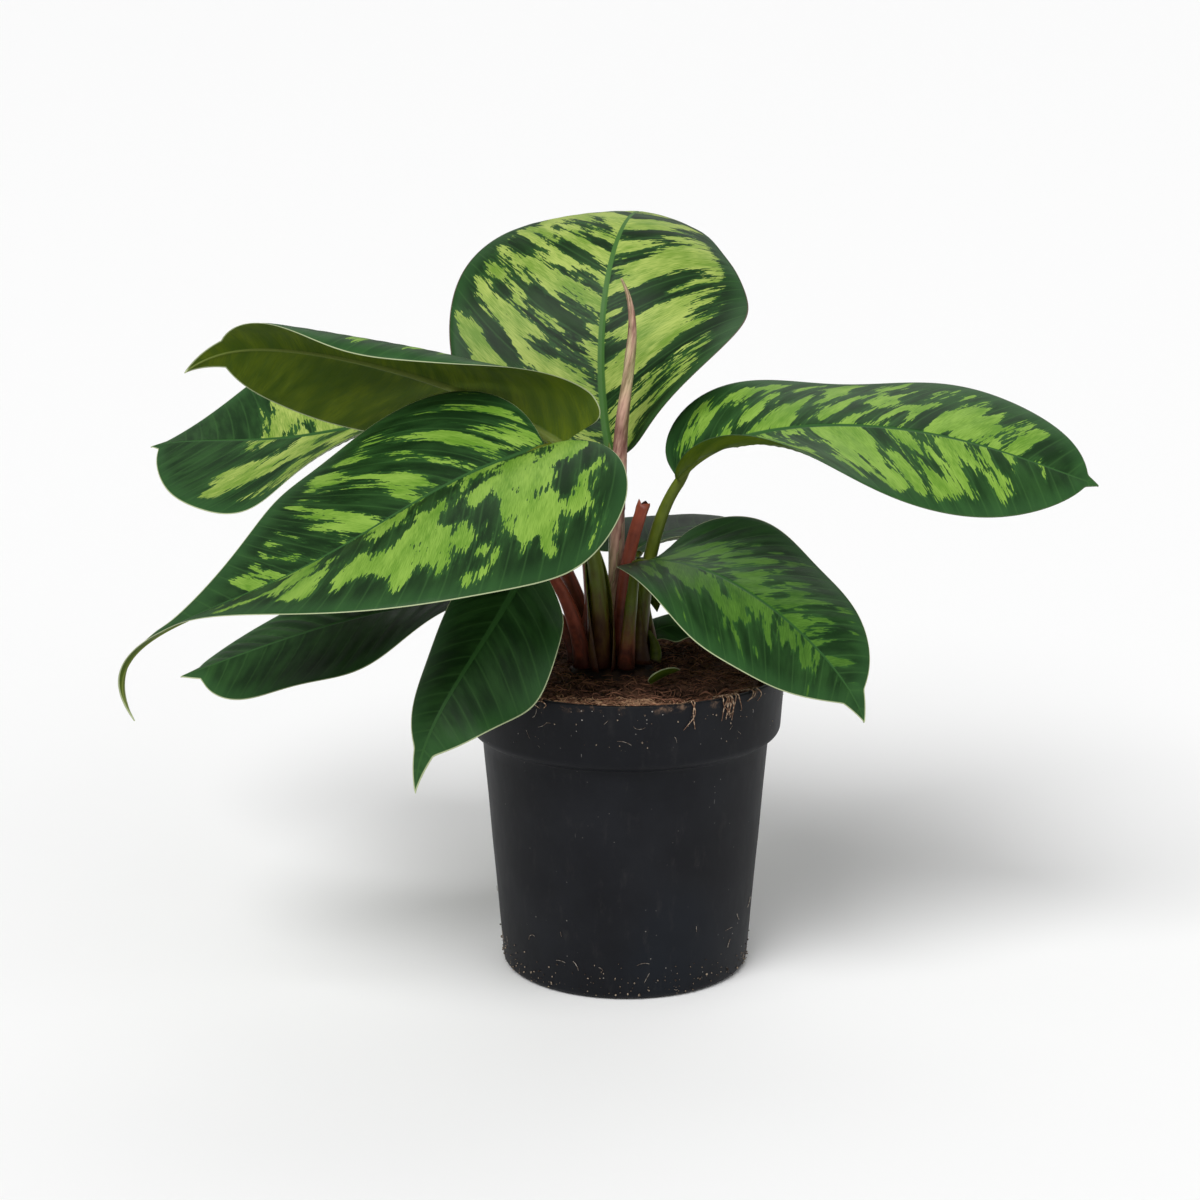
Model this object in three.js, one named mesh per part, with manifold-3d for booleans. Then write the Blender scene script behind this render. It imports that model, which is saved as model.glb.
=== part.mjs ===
// Potted homalomena: a nursery pot of soil with a clump of variegated leaves.
// Millimetres, +Z up. The origin is the centre of the pot's flat underside.
// The plant faces -Y; +X is to the right of somebody who looks at it from the front.
import * as THREE from 'three';
import Module from 'manifold-3d';
import { mergeVertices } from 'three/addons/utils/BufferGeometryUtils.js';

const wasm = await Module();
wasm.setup();

// ---- pot -------------------------------------------------------------
const POT_HEIGHT = 116;
const RIM_RADIUS = 60;
const COLLAR_FOOT = 58.4; // outer radius at the foot of the collar
const COLLAR_FOOT_Z = 97;
const BODY_TOP = 54.3; // outer radius just under the collar
const BODY_TOP_Z = 90.5;
const BODY_FOOT = 46.7;
const BODY_FOOT_Z = 2.5;
const FLOOR_RADIUS = 44.2;
const WALL = 1.6;
const FLOOR = 2;
const DRAIN_HOLES = 6;
const DRAIN_RADIUS = 4;
const DRAIN_RING = 31;

// ---- soil and crown --------------------------------------------------
const SOIL_TOP = 114;
const GAP = 0.3;
const CROWN = [-5, 1]; // centre of the clump
const CROWN_RADIUS = 17;
const CROWN_TOP = 116.6;
const STALK_FOOT = 117.6;

// ---- leaf blades -----------------------------------------------------
const BLADE_THICKNESS = 1;
const BLADE_ROWS = 22;
const BLADE_COLUMNS = 7; // on each half
const VEIN_SWEEP = 1.35; // side veins leave the midrib ahead of where they end
const LOBE_REACH = 0.11; // part of the margin taken up by a basal lobe
const STALK_GAP = 1.6; // between a stalk's end and the middle of its blade
const CURVE_STEPS = 100; // steps a curve's length is added up over
const NORMAL_STEP = 0.2; // how far apart the points are that a blade's slope is read from

// ---- bars and turned pieces --------------------------------------------
const BAR_SIDES = 8;
const STALK_RINGS = 10;
const BAR_RINGS = 14;
const POT_SIDES = 48;
const CROWN_SIDES = 20;
const HOLE_SIDES = 16;

// midrib: control points of one Bezier curve, from the stalk to the tip.
// side: direction of the right half at the base and at the tip.
// half: half width; left: how much wider the left half is; lobes: basal lobes, left and right.
// ends: how fast the blade widens and narrows; tail: the pointed tip's share of the length, and half width.
// tilt and curl, in degrees at the base, the middle and the tip, for each half: the slope it leaves
// the midrib with, and how far it bends by its margin.
// ripple: waves along the blade, then sine and cosine heights at the right and left margins.
const BLADES = {
  leaf_back: {
    midrib: [[-5, 29, 188], [-12, 41, 216], [-12, 48, 245], [-7, 61, 293], [11, 109, 286], [12, 129, 258]],
    side: [[0.97, -0.22, 0], [0.95, -0.25, -0.25]],
    half: 55, left: 1.13, lobes: [11, 7], ends: [0.59, 0.74], tail: [0.05, 3],
    tiltLeft: [2, -4, -16], tiltRight: [40, -25, 18],
    curlLeft: [9, -8, -36], curlRight: [49, -66, -40],
    ripple: [2, 3.8, -0.3, -1.3, -0.7],
  },
  leaf_upper_left: {
    midrib: [[-24, 4, 198], [-49, 12, 214], [-75, 23, 225], [-105, 20, 225], [-140, 16, 244], [-163, 4, 225]],
    side: [[0, 0.55, -0.85], [0, 0.5, -0.85]],
    half: 34, left: 0.99, lobes: [18, 14], ends: [0.45, 0.52], tail: [0.11, 6],
    tiltLeft: [41, 6, 11], tiltRight: [4, 5, -12],
    curlLeft: [-44, -182, -80], curlRight: [-4, 0, -3],
    ripple: [2, -1.1, -0.3, -1.3, 0.9],
  },
  leaf_rear_left: {
    midrib: [[-91, 68, 197], [-113, 75, 193], [-132, 85, 185], [-153, 94, 183], [-175, 103, 185], [-196, 110, 179]],
    side: [[0, 1, 0.3], [0, 1, 0.6]],
    half: 47, left: 1.06, lobes: [10, 10], ends: [0.61, 0.64], tail: [0.05, 4],
    tiltLeft: [19, -4, 16], tiltRight: [14, 22, -31],
    curlLeft: [8, -23, 2], curlRight: [5, 23, 11],
    ripple: [2, 0.4, -0.9, 1.4, -0.5],
  },
  leaf_front_left: {
    midrib: [[-29, -20, 202], [-52, -35, 197], [-79, -49, 191], [-98, -61, 172],
      [-112, -71, 155], [-150, -77, 158], [-191, -69, 145], [-173, -64, 111]],
    side: [[0.3, 0.8, 0.45], [0, 0.7, 0.6]],
    half: 66, left: 1.13, lobes: [24, 15], ends: [0.8, 1.34], tail: [0.2, 4.5],
    tiltLeft: [54, 12, 62], tiltRight: [3, -3, -28],
    curlLeft: [-83, -36, 9], curlRight: [-34, -17, 28],
    ripple: [1, -1.2, -0.4, -0.2, -0.5],
  },
  leaf_right: {
    midrib: [[19, 0, 187], [37, -7, 213], [81, -9, 209], [109, -13, 213], [140, -16, 198], [171, -20, 188]],
    side: [[0, -0.7, -0.3], [0, -0.8, -0.6]],
    half: 43, left: 1.05, lobes: [8, 0], ends: [0.64, 0.63], tail: [0.03, 3],
    tiltLeft: [21, -29, 14], tiltRight: [22, -2, 6],
    curlLeft: [-8, -32, -19], curlRight: [112, -16, -47],
    ripple: [1.6, 1.1, 1.3, 1.5, 2.8],
  },
  leaf_lower_right: {
    midrib: [[4, -13, 158], [22, -26, 165], [44, -32, 156], [61, -39, 141], [78, -41, 127], [86, -45, 106]],
    side: [[0.1, -0.8, -0.5], [-0.4, -0.7, -0.5]],
    half: 41, left: 1.14, lobes: [6, 0], ends: [0.48, 0.67], tail: [0.09, 6],
    tiltLeft: [-59, 2, 17], tiltRight: [47, -7, 4],
    curlLeft: [64, -14, -56], curlRight: [21, -36, 21],
    ripple: [2, 1.4, 0.5, -0.7, -1.2],
  },
  leaf_rear_right: {
    midrib: [[4, 40, 151], [17, 49, 160], [31, 61, 158], [47, 71, 157], [63, 76, 150], [74, 82, 137]],
    side: [[0, -1, 0], [0, -1, -0.2]],
    half: 33, left: 1.03, lobes: [12, 11], ends: [0.52, 0.82], tail: [0.08, 4],
    tiltLeft: [16, -16, -9], tiltRight: [-2, -3, 0],
    curlLeft: [7, -30, -12], curlRight: [12, -13, 0],
    ripple: [2, 0.1, 0.7, 0.8, 0],
  },
  leaf_rear: {
    midrib: [[4, 12, 154], [8, 16, 153], [10, 19, 142], [12, 21, 131]],
    side: [[0.7, -0.6, 0], [0.8, -0.4, 0]],
    half: 9, left: 1, lobes: [3, 3], ends: [0.6, 0.8], tail: [0.1, 2],
    tiltLeft: [10, 0, 0], tiltRight: [10, 0, 0],
    curlLeft: [0, -20, 0], curlRight: [0, -20, 0],
    ripple: [2, 0, 0, 0, 0],
  },
  leaf_lower_left: {
    midrib: [[-47, 9, 141], [-71, 3, 140], [-95, -4, 137], [-119, -10, 132], [-141, -14, 123], [-165, -17, 115]],
    side: [[0, 0.9, 0.3], [0, 0.8, 0.5]],
    half: 33, left: 1.05, lobes: [10, 10], ends: [0.6, 0.44], tail: [0.06, 5],
    tiltLeft: [34, 2, -3], tiltRight: [9, -5, -35],
    curlLeft: [15, -11, 12], curlRight: [-2, -16, -3],
    ripple: [2, -0.5, 0, 1, -2.3],
  },
  leaf_front_low: {
    midrib: [[-34, -31, 163], [-41, -47, 153], [-49, -58, 138], [-62, -67, 125], [-73, -71, 107], [-74, -71, 87]],
    side: [[-0.8, 0.2, 0.3], [-0.8, 0.3, 0.3]],
    half: 23, left: 1.15, lobes: [0, 8], ends: [0.6, 0.73], tail: [0.15, 4],
    tiltLeft: [-15, -3, 1], tiltRight: [-1, -37, -7],
    curlLeft: [-17, -14, 5], curlRight: [2, -40, -40],
    ripple: [2, -1, 0, 0.6, -5.7],
  },
  leaf_small_back: {
    midrib: [[7, 20, 121], [15, 25, 127], [28, 30, 125], [41, 33, 119]],
    side: [[0, -1, -0.2], [0, -1, -0.1]],
    half: 9, left: 1, lobes: [3, 3], ends: [0.6, 0.8], tail: [0.1, 2],
    tiltLeft: [15, 5, 0], tiltRight: [-10, -15, 0],
    curlLeft: [0, -15, 0], curlRight: [0, -25, 0],
    ripple: [2.5, 0.8, 0, 0.5, 0],
  },
  soil_leaf: {
    midrib: [[9, -27, 115.8], [13, -27, 118], [17, -26, 120], [20, -24, 120]],
    side: [[0, -1, 0.2], [0, -1, 0.4]],
    half: 4.5, left: 1, lobes: [1, 1], ends: [0.6, 0.8], tail: [0.05, 0.8],
    tiltLeft: [30, 20, 10], tiltRight: [30, 20, 10],
    curlLeft: [20, 20, 20], curlRight: [20, 20, 20],
    ripple: [2, 0, 0, 0, 0],
  },
};

// ---- stalks ----------------------------------------------------------
// foot: where it leaves the crown; via: the curve's two inner control points;
// radius at the foot and at the blade. A stalk ends just under its blade's base.
const STALKS = {
  stalk_back: {
    blade: 'leaf_back', foot: [-3, 7],
    via: [[-4, 10, 140], [-4, 16, 168]], radius: [3, 2],
  },
  stalk_upper_left: {
    blade: 'leaf_upper_left', foot: [-12, 0],
    via: [[-12, 1, 140], [-13, 0, 175]], radius: [3, 2],
  },
  stalk_rear_left: {
    blade: 'leaf_rear_left', foot: [-13, 7],
    via: [[-18, 20, 155], [-52, 40, 192]], radius: [2.8, 1.8],
  },
  stalk_front_left: {
    blade: 'leaf_front_left', foot: [-9, -7],
    via: [[-9, -13, 145], [-11, -18, 182]], radius: [3.2, 2.2],
  },
  stalk_right: {
    blade: 'leaf_right', foot: [4, -2],
    via: [[6, -1, 142], [9, 0, 170]], radius: [3, 2],
  },
  stalk_lower_right: {
    blade: 'leaf_lower_right', foot: [0, -11],
    via: [[1, -13, 130], [2, -15, 145]], radius: [2.6, 1.9],
  },
  stalk_rear_right: {
    blade: 'leaf_rear_right', foot: [3.5, 6],
    via: [[3.5, 8, 130], [-2, 32, 138]], radius: [2.6, 1.7],
  },
  stalk_rear: {
    blade: 'leaf_rear', foot: [10, 5.5],
    via: [[9, 7, 132], [4, 9, 148]], radius: [2, 1.4],
  },
  stalk_lower_left: {
    blade: 'leaf_lower_left', foot: [-18, -1.5],
    via: [[-20, -1, 132], [-34, 1, 145]], radius: [2.8, 1.8],
  },
  stalk_front_low: {
    blade: 'leaf_front_low', foot: [-16, -8],
    via: [[-17, -12, 138], [-27, -18, 158]], radius: [2.8, 1.8],
  },
  stalk_small_back: {
    blade: 'leaf_small_back', foot: [8, 12],
    via: [[8, 14, 119], [7, 17, 120.5]], radius: [1.4, 1],
  },
};

// free pieces in the clump, each a tapering bar along its own curve
const BARS = {
  rolled_spear: {
    path: [[-5.5, 1, STALK_FOOT], [-6, 0, 150], [7, 3, 180], [-17, 6, 205],
      [7, 10, 222], [6, 13, 245], [-2, 14, 259]],
    radius: [2.6, 2.8, 2.8, 0.4],
  },
  sheath_right: {
    path: [[-2.5, -5, STALK_FOOT], [-2, -5, 140], [0, -5, 160], [7, -4, 178]],
    radius: [2.5, 2.3, 2.2, 2],
  },
  sheath_small: {
    path: [[11, -3, STALK_FOOT], [12, -2, 121], [11, -1, 125], [8.5, -1, 129]],
    radius: [2, 2.2, 1.6, 0.5],
  },
};

const COLOURS = {
  pot: [0x26282b, 0.55],
  soil: [0x3a2a22, 0.95],
  crown: [0x4a2c22, 0.8],
  variegated: [0x5d8f45, 0.4],
  plain: [0x2f5a38, 0.4],
  stalk: [0x6a5a2c, 0.45],
  red: [0x7c3a2c, 0.5],
  spear: [0xa8806a, 0.7],
};

// ---- geometry --------------------------------------------------------
function paint([colour, roughness]) {
  return new THREE.MeshStandardMaterial({ color: colour, roughness, metalness: 0 });
}

function named(name, geometry, look) {
  const mesh = new THREE.Mesh(geometry, paint(look));
  mesh.name = name;
  return mesh;
}

// point and derivative of a Bezier curve of any degree, carried on straight before its start
function bezier(points, u) {
  const at = Math.min(Math.max(u, 0), 1);
  const last = points.length - 1;
  let level = points.map((p) => new THREE.Vector3(...p));
  const slope = new THREE.Vector3();
  for (let k = 0; k < last; k += 1) {
    if (k === last - 1) {
      slope.subVectors(level[1], level[0]).multiplyScalar(last);
    }
    level = level.slice(1).map((p, i) => level[i].clone().lerp(p, at));
  }
  const point = level[0].addScaledVector(slope, u - at);
  return { point, slope };
}

function curveLength(points) {
  let total = 0;
  let before = bezier(points, 0).point;
  for (let i = 1; i <= CURVE_STEPS; i += 1) {
    const next = bezier(points, i / CURVE_STEPS).point;
    total += next.distanceTo(before);
    before = next;
  }
  return total;
}

// weighs the base, middle and tip values along the blade
function along([base, middle, tip], u) {
  const t = Math.min(Math.max(u, 0), 1);
  return base * (1 - t) ** 2 + 2 * middle * t * (1 - t) + tip * t * t;
}

// the blade's axes at the share u of its midrib
function bladeFrame(blade, u) {
  const { point, slope } = bezier(blade.midrib, u);
  const forward = slope.normalize();
  const t = Math.min(Math.max(u, 0), 1);
  const across = new THREE.Vector3(...blade.side[0]).lerp(new THREE.Vector3(...blade.side[1]), t);
  across.addScaledVector(forward, -across.dot(forward)).normalize();
  const up = new THREE.Vector3().crossVectors(across, forward);
  return { point, forward, across, up };
}

// x along the midrib and y out from it on the flat blade, side 1 right and -1 left
function bladePoint(blade, length, x, y, side) {
  const u = x / length;
  const { point, across, up } = bladeFrame(blade, u);
  const tilt = THREE.MathUtils.degToRad(along(side > 0 ? blade.tiltRight : blade.tiltLeft, u));
  const bend = THREE.MathUtils.degToRad(along(side > 0 ? blade.curlRight : blade.curlLeft, u));
  const curl = Math.abs(bend) < 1e-4 ? 1e-4 : bend;
  const turn = (curl * y) / blade.half;
  const k = curl / blade.half;
  const out = (Math.sin(tilt + turn) - Math.sin(tilt)) / k;
  const [waves, rightSin, rightCos, leftSin, leftCos] = blade.ripple;
  const phase = 2 * Math.PI * waves * u;
  const ripple = side > 0
    ? rightSin * Math.sin(phase) + rightCos * Math.cos(phase)
    : leftSin * Math.sin(phase) + leftCos * Math.cos(phase);
  const rise = (Math.cos(tilt) - Math.cos(tilt + turn)) / k + ripple * (y / blade.half) ** 2;
  return point.addScaledVector(across, side * out).addScaledVector(up, rise);
}

// square to the blade's upper side; at the midrib, where the halves meet, it is the midrib's own up
function bladeNormal(blade, length, x, y, side) {
  if (y < NORMAL_STEP) {
    return bladeFrame(blade, x / length).up;
  }
  const out = bladePoint(blade, length, x, y + NORMAL_STEP, side)
    .sub(bladePoint(blade, length, x, y - NORMAL_STEP, side));
  const ahead = bladePoint(blade, length, x + NORMAL_STEP, y, side)
    .sub(bladePoint(blade, length, x - NORMAL_STEP, y, side));
  return out.cross(ahead).normalize().multiplyScalar(side);
}

// where the margin runs on the flat blade
function margin(blade, length, t, side) {
  const [opening, closing] = blade.ends;
  const peak = opening / (opening + closing);
  const scale = 1 / (peak ** opening * (1 - peak) ** closing);
  const [tailShare, tailHalf] = blade.tail;
  const body = Math.min(t / (1 - tailShare), 1);
  const half = blade.half * (side > 0 ? 1 : blade.left);
  const tail = tailHalf * (body < 1 ? body ** 2 : (1 - t) / tailShare);
  const y = Math.hypot(half * scale * body ** opening * (1 - body) ** closing, tail);
  const lobe = blade.lobes[side > 0 ? 1 : 0];
  const reach = t / LOBE_REACH;
  return { x: length * t - lobe * reach * Math.exp(1 - reach), y };
}

// a box bent into the blade: its x runs across, y from base to tip, z through the thickness
function bladeGeometry(blade) {
  const length = curveLength(blade.midrib);
  const box = new THREE.BoxGeometry(2, 1, 1, 2 * BLADE_COLUMNS, BLADE_ROWS, 1);
  const spots = box.attributes.position;
  for (let i = 0; i < spots.count; i += 1) {
    const v = Math.abs(spots.getX(i));
    const side = spots.getX(i) < 0 ? -1 : 1;
    const row = (1 - Math.cos(Math.PI * (spots.getY(i) + 0.5))) / 2;
    const t = Math.min(Math.max(row, 0.002), 0.998);
    const edge = margin(blade, length, t, side);
    const start = length * t ** VEIN_SWEEP;
    const lift = spots.getZ(i) * BLADE_THICKNESS;
    const x = start + (edge.x - start) * v;
    const y = edge.y * v;
    const p = bladePoint(blade, length, x, y, side)
      .addScaledVector(bladeNormal(blade, length, x, y, side), lift);
    spots.setXYZ(i, p.x, p.y, p.z);
  }
  box.computeVertexNormals();
  return box;
}

// a closed bar along a Bezier curve, with its radius weighed along it
function barGeometry(path, radii, rings) {
  const bar = new THREE.CylinderGeometry(1, 1, 1, BAR_SIDES, rings);
  const spots = bar.attributes.position;
  for (let i = 0; i < spots.count; i += 1) {
    const t = spots.getY(i) + 0.5;
    const { point, slope } = bezier(path, t);
    const forward = slope.normalize();
    const first = new THREE.Vector3(0, 1, 0);
    first.addScaledVector(forward, -first.dot(forward)).normalize();
    const second = new THREE.Vector3().crossVectors(first, forward);
    const radius = bezier(radii.map((r) => [r, 0, 0]), t).point.x;
    point.addScaledVector(first, radius * spots.getX(i)).addScaledVector(second, radius * spots.getZ(i));
    spots.setXYZ(i, point.x, point.y, point.z);
  }
  bar.computeVertexNormals();
  return bar;
}

function stalkGeometry(stalk) {
  const blade = BLADES[stalk.blade];
  const { point, forward, up } = bladeFrame(blade, 0);
  const end = point.addScaledVector(up, -STALK_GAP).addScaledVector(forward, -STALK_GAP);
  const path = [[...stalk.foot, STALK_FOOT], ...stalk.via, end.toArray()];
  return barGeometry(path, [stalk.radius[0], ...stalk.radius, stalk.radius[1]], STALK_RINGS);
}

// ---- solids cut with manifold-3d -------------------------------------
function solid(geometry) {
  const bare = geometry.clone();
  bare.deleteAttribute('normal');
  bare.deleteAttribute('uv');
  const merged = mergeVertices(bare);
  return new wasm.Manifold(new wasm.Mesh({
    numProp: 3,
    vertProperties: new Float32Array(merged.attributes.position.array),
    triVerts: new Uint32Array(merged.index.array),
  }));
}

function fromSolid(body) {
  const mesh = body.getMesh();
  const geometry = new THREE.BufferGeometry();
  geometry.setAttribute('position', new THREE.BufferAttribute(mesh.vertProperties.slice(), 3));
  geometry.setIndex(new THREE.BufferAttribute(mesh.triVerts.slice(), 1));
  geometry.computeVertexNormals();
  return geometry;
}

function lathe(profile, segments) {
  const geometry = new THREE.LatheGeometry(profile.map(([r, z]) => new THREE.Vector2(r, z)), segments);
  geometry.rotateX(Math.PI / 2);
  return geometry;
}

function potGeometry() {
  const wall = lathe([
    [0, 0], [FLOOR_RADIUS, 0], [BODY_FOOT - 0.6, 0.8], [BODY_FOOT, BODY_FOOT_Z],
    [BODY_TOP, BODY_TOP_Z], [BODY_TOP + 2.4, BODY_TOP_Z + 0.6], [COLLAR_FOOT - 0.4, COLLAR_FOOT_Z - 2.6],
    [COLLAR_FOOT, COLLAR_FOOT_Z], [RIM_RADIUS, POT_HEIGHT - 1], [RIM_RADIUS - 0.6, POT_HEIGHT],
    [RIM_RADIUS - WALL, POT_HEIGHT], [COLLAR_FOOT - WALL, COLLAR_FOOT_Z],
    [BODY_TOP - WALL, BODY_TOP_Z + 1], [BODY_FOOT - WALL, FLOOR + 1],
    [FLOOR_RADIUS - WALL, FLOOR], [0, FLOOR],
  ], POT_SIDES);
  let body = solid(wall);
  const drill = new THREE.CylinderGeometry(DRAIN_RADIUS, DRAIN_RADIUS, 4 * FLOOR, HOLE_SIDES);
  drill.rotateX(Math.PI / 2);
  for (let i = 0; i < DRAIN_HOLES; i += 1) {
    const angle = ((i + 0.5) / DRAIN_HOLES) * 2 * Math.PI;
    const hole = drill.clone().translate(DRAIN_RING * Math.cos(angle), DRAIN_RING * Math.sin(angle), 0);
    body = body.subtract(solid(hole));
  }
  return fromSolid(body);
}

function soilGeometry() {
  const inside = WALL + GAP;
  return lathe([
    [0, FLOOR + GAP], [FLOOR_RADIUS - inside, FLOOR + GAP], [BODY_FOOT - inside, FLOOR + 1 + GAP],
    [BODY_TOP - inside, BODY_TOP_Z + 1], [COLLAR_FOOT - inside, COLLAR_FOOT_Z + GAP],
    [RIM_RADIUS - inside - 0.2, SOIL_TOP], [0, SOIL_TOP],
  ], POT_SIDES);
}

function crownGeometry() {
  const crown = lathe([
    [0, SOIL_TOP + GAP], [CROWN_RADIUS, SOIL_TOP + GAP],
    [CROWN_RADIUS - 1.5, CROWN_TOP - 0.6], [CROWN_RADIUS - 3, CROWN_TOP], [0, CROWN_TOP],
  ], CROWN_SIDES);
  return crown.translate(CROWN[0], CROWN[1], 0);
}

// ---- assembly --------------------------------------------------------
const PLAIN = ['leaf_lower_left', 'leaf_front_low', 'leaf_rear_right', 'leaf_rear', 'leaf_small_back'];

const group = new THREE.Group();
group.add(named('pot', potGeometry(), COLOURS.pot));
group.add(named('soil', soilGeometry(), COLOURS.soil));
group.add(named('crown', crownGeometry(), COLOURS.crown));
for (const [name, blade] of Object.entries(BLADES)) {
  const look = PLAIN.includes(name) ? COLOURS.plain : COLOURS.variegated;
  group.add(named(name, bladeGeometry(blade), look));
}
for (const [name, stalk] of Object.entries(STALKS)) {
  group.add(named(name, stalkGeometry(stalk), COLOURS.stalk));
}
for (const [name, bar] of Object.entries(BARS)) {
  const look = name === 'rolled_spear' ? COLOURS.spear : COLOURS.red;
  group.add(named(name, barGeometry(bar.path, bar.radius, BAR_RINGS), look));
}

export default group;
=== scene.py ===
# Potted homalomena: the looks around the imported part.
# The tables are in millimetres, as in the part's own frame, and meshes are made in metres.
import math
import random

import bmesh
import bpy
import numpy as np
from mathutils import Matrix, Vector, noise


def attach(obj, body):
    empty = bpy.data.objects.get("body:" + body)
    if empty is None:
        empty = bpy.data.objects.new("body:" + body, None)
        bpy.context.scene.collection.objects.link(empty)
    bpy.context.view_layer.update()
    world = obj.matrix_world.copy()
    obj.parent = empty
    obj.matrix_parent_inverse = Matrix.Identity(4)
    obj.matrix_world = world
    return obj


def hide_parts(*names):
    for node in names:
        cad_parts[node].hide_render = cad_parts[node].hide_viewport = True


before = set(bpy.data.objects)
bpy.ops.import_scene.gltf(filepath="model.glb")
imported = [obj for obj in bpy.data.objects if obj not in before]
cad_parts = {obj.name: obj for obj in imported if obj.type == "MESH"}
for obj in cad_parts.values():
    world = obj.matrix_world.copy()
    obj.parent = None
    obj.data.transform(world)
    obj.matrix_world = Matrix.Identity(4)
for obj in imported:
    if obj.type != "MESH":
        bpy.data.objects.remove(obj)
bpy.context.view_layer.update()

MM = 0.001
rng = random.Random(11)

# ---- pot, soil and crown ---------------------------------------------------
POT_HEIGHT = 116
RIM_RADIUS = 60
COLLAR_FOOT = 58.4
COLLAR_FOOT_Z = 97
BODY_TOP = 54.3
BODY_TOP_Z = 90.5
BODY_FOOT = 46.7
FLOOR_RADIUS = 44.2
WALL = 1.6
FLOOR = 2
DRAIN_HOLES = 6
DRAIN_RADIUS = 4
DRAIN_RING = 31
SOIL_TOP = 114
CROWN = (-5, 1)
CROWN_RADIUS = 17
CROWN_TOP = 117.2
CROWN_FOOT = 111.5
STALK_FOOT = 117.6

# ---- leaf blades -----------------------------------------------------------
BLADE_THICKNESS = 0.55
BLADE_ROWS = 150
BLADE_COLUMNS = 34
VEIN_SWEEP = 1.35
LOBE_REACH = 0.11
VEIN_SPACING = 7.5
SIDE_VEIN_LEAN = 0.5
SIDE_VEIN_BEND = 0.22
MIDRIB_BASE = 1.9
MIDRIB_TIP = 0.35
STALK_GAP = 1.6

# ---- stalks, soil and dirt -------------------------------------------------
STALK_SIDES = 18
STALK_FOOT_SWELL = 0.9  # added to a stalk's radius at its foot
SPEAR_SWELL = 1.12
SHEATH_SWELL = 1.25
SHEATH_FLATNESS = 0.62
SOIL_CRUMBS = 900
SOIL_FIBRES = 1500
FRONT_FIBRES = 330
POT_GRAINS = 620
POT_HAIRS = 80
BODY_MIDDLE = 55  # the radius that is used to unroll the pot's wall

# ---- setting, in metres and degrees ----------------------------------------
FLOOR_DISC = 150  # its radius
FLOOR_DROP = 0.0002  # how far it is below the pot's foot
CAMERA_PLACE = (0, -0.95, 0.365)
CAMERA_LENS = 78.39
CAMERA_DOWN = 13.29
CAMERA_TURN = 0.58

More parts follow.
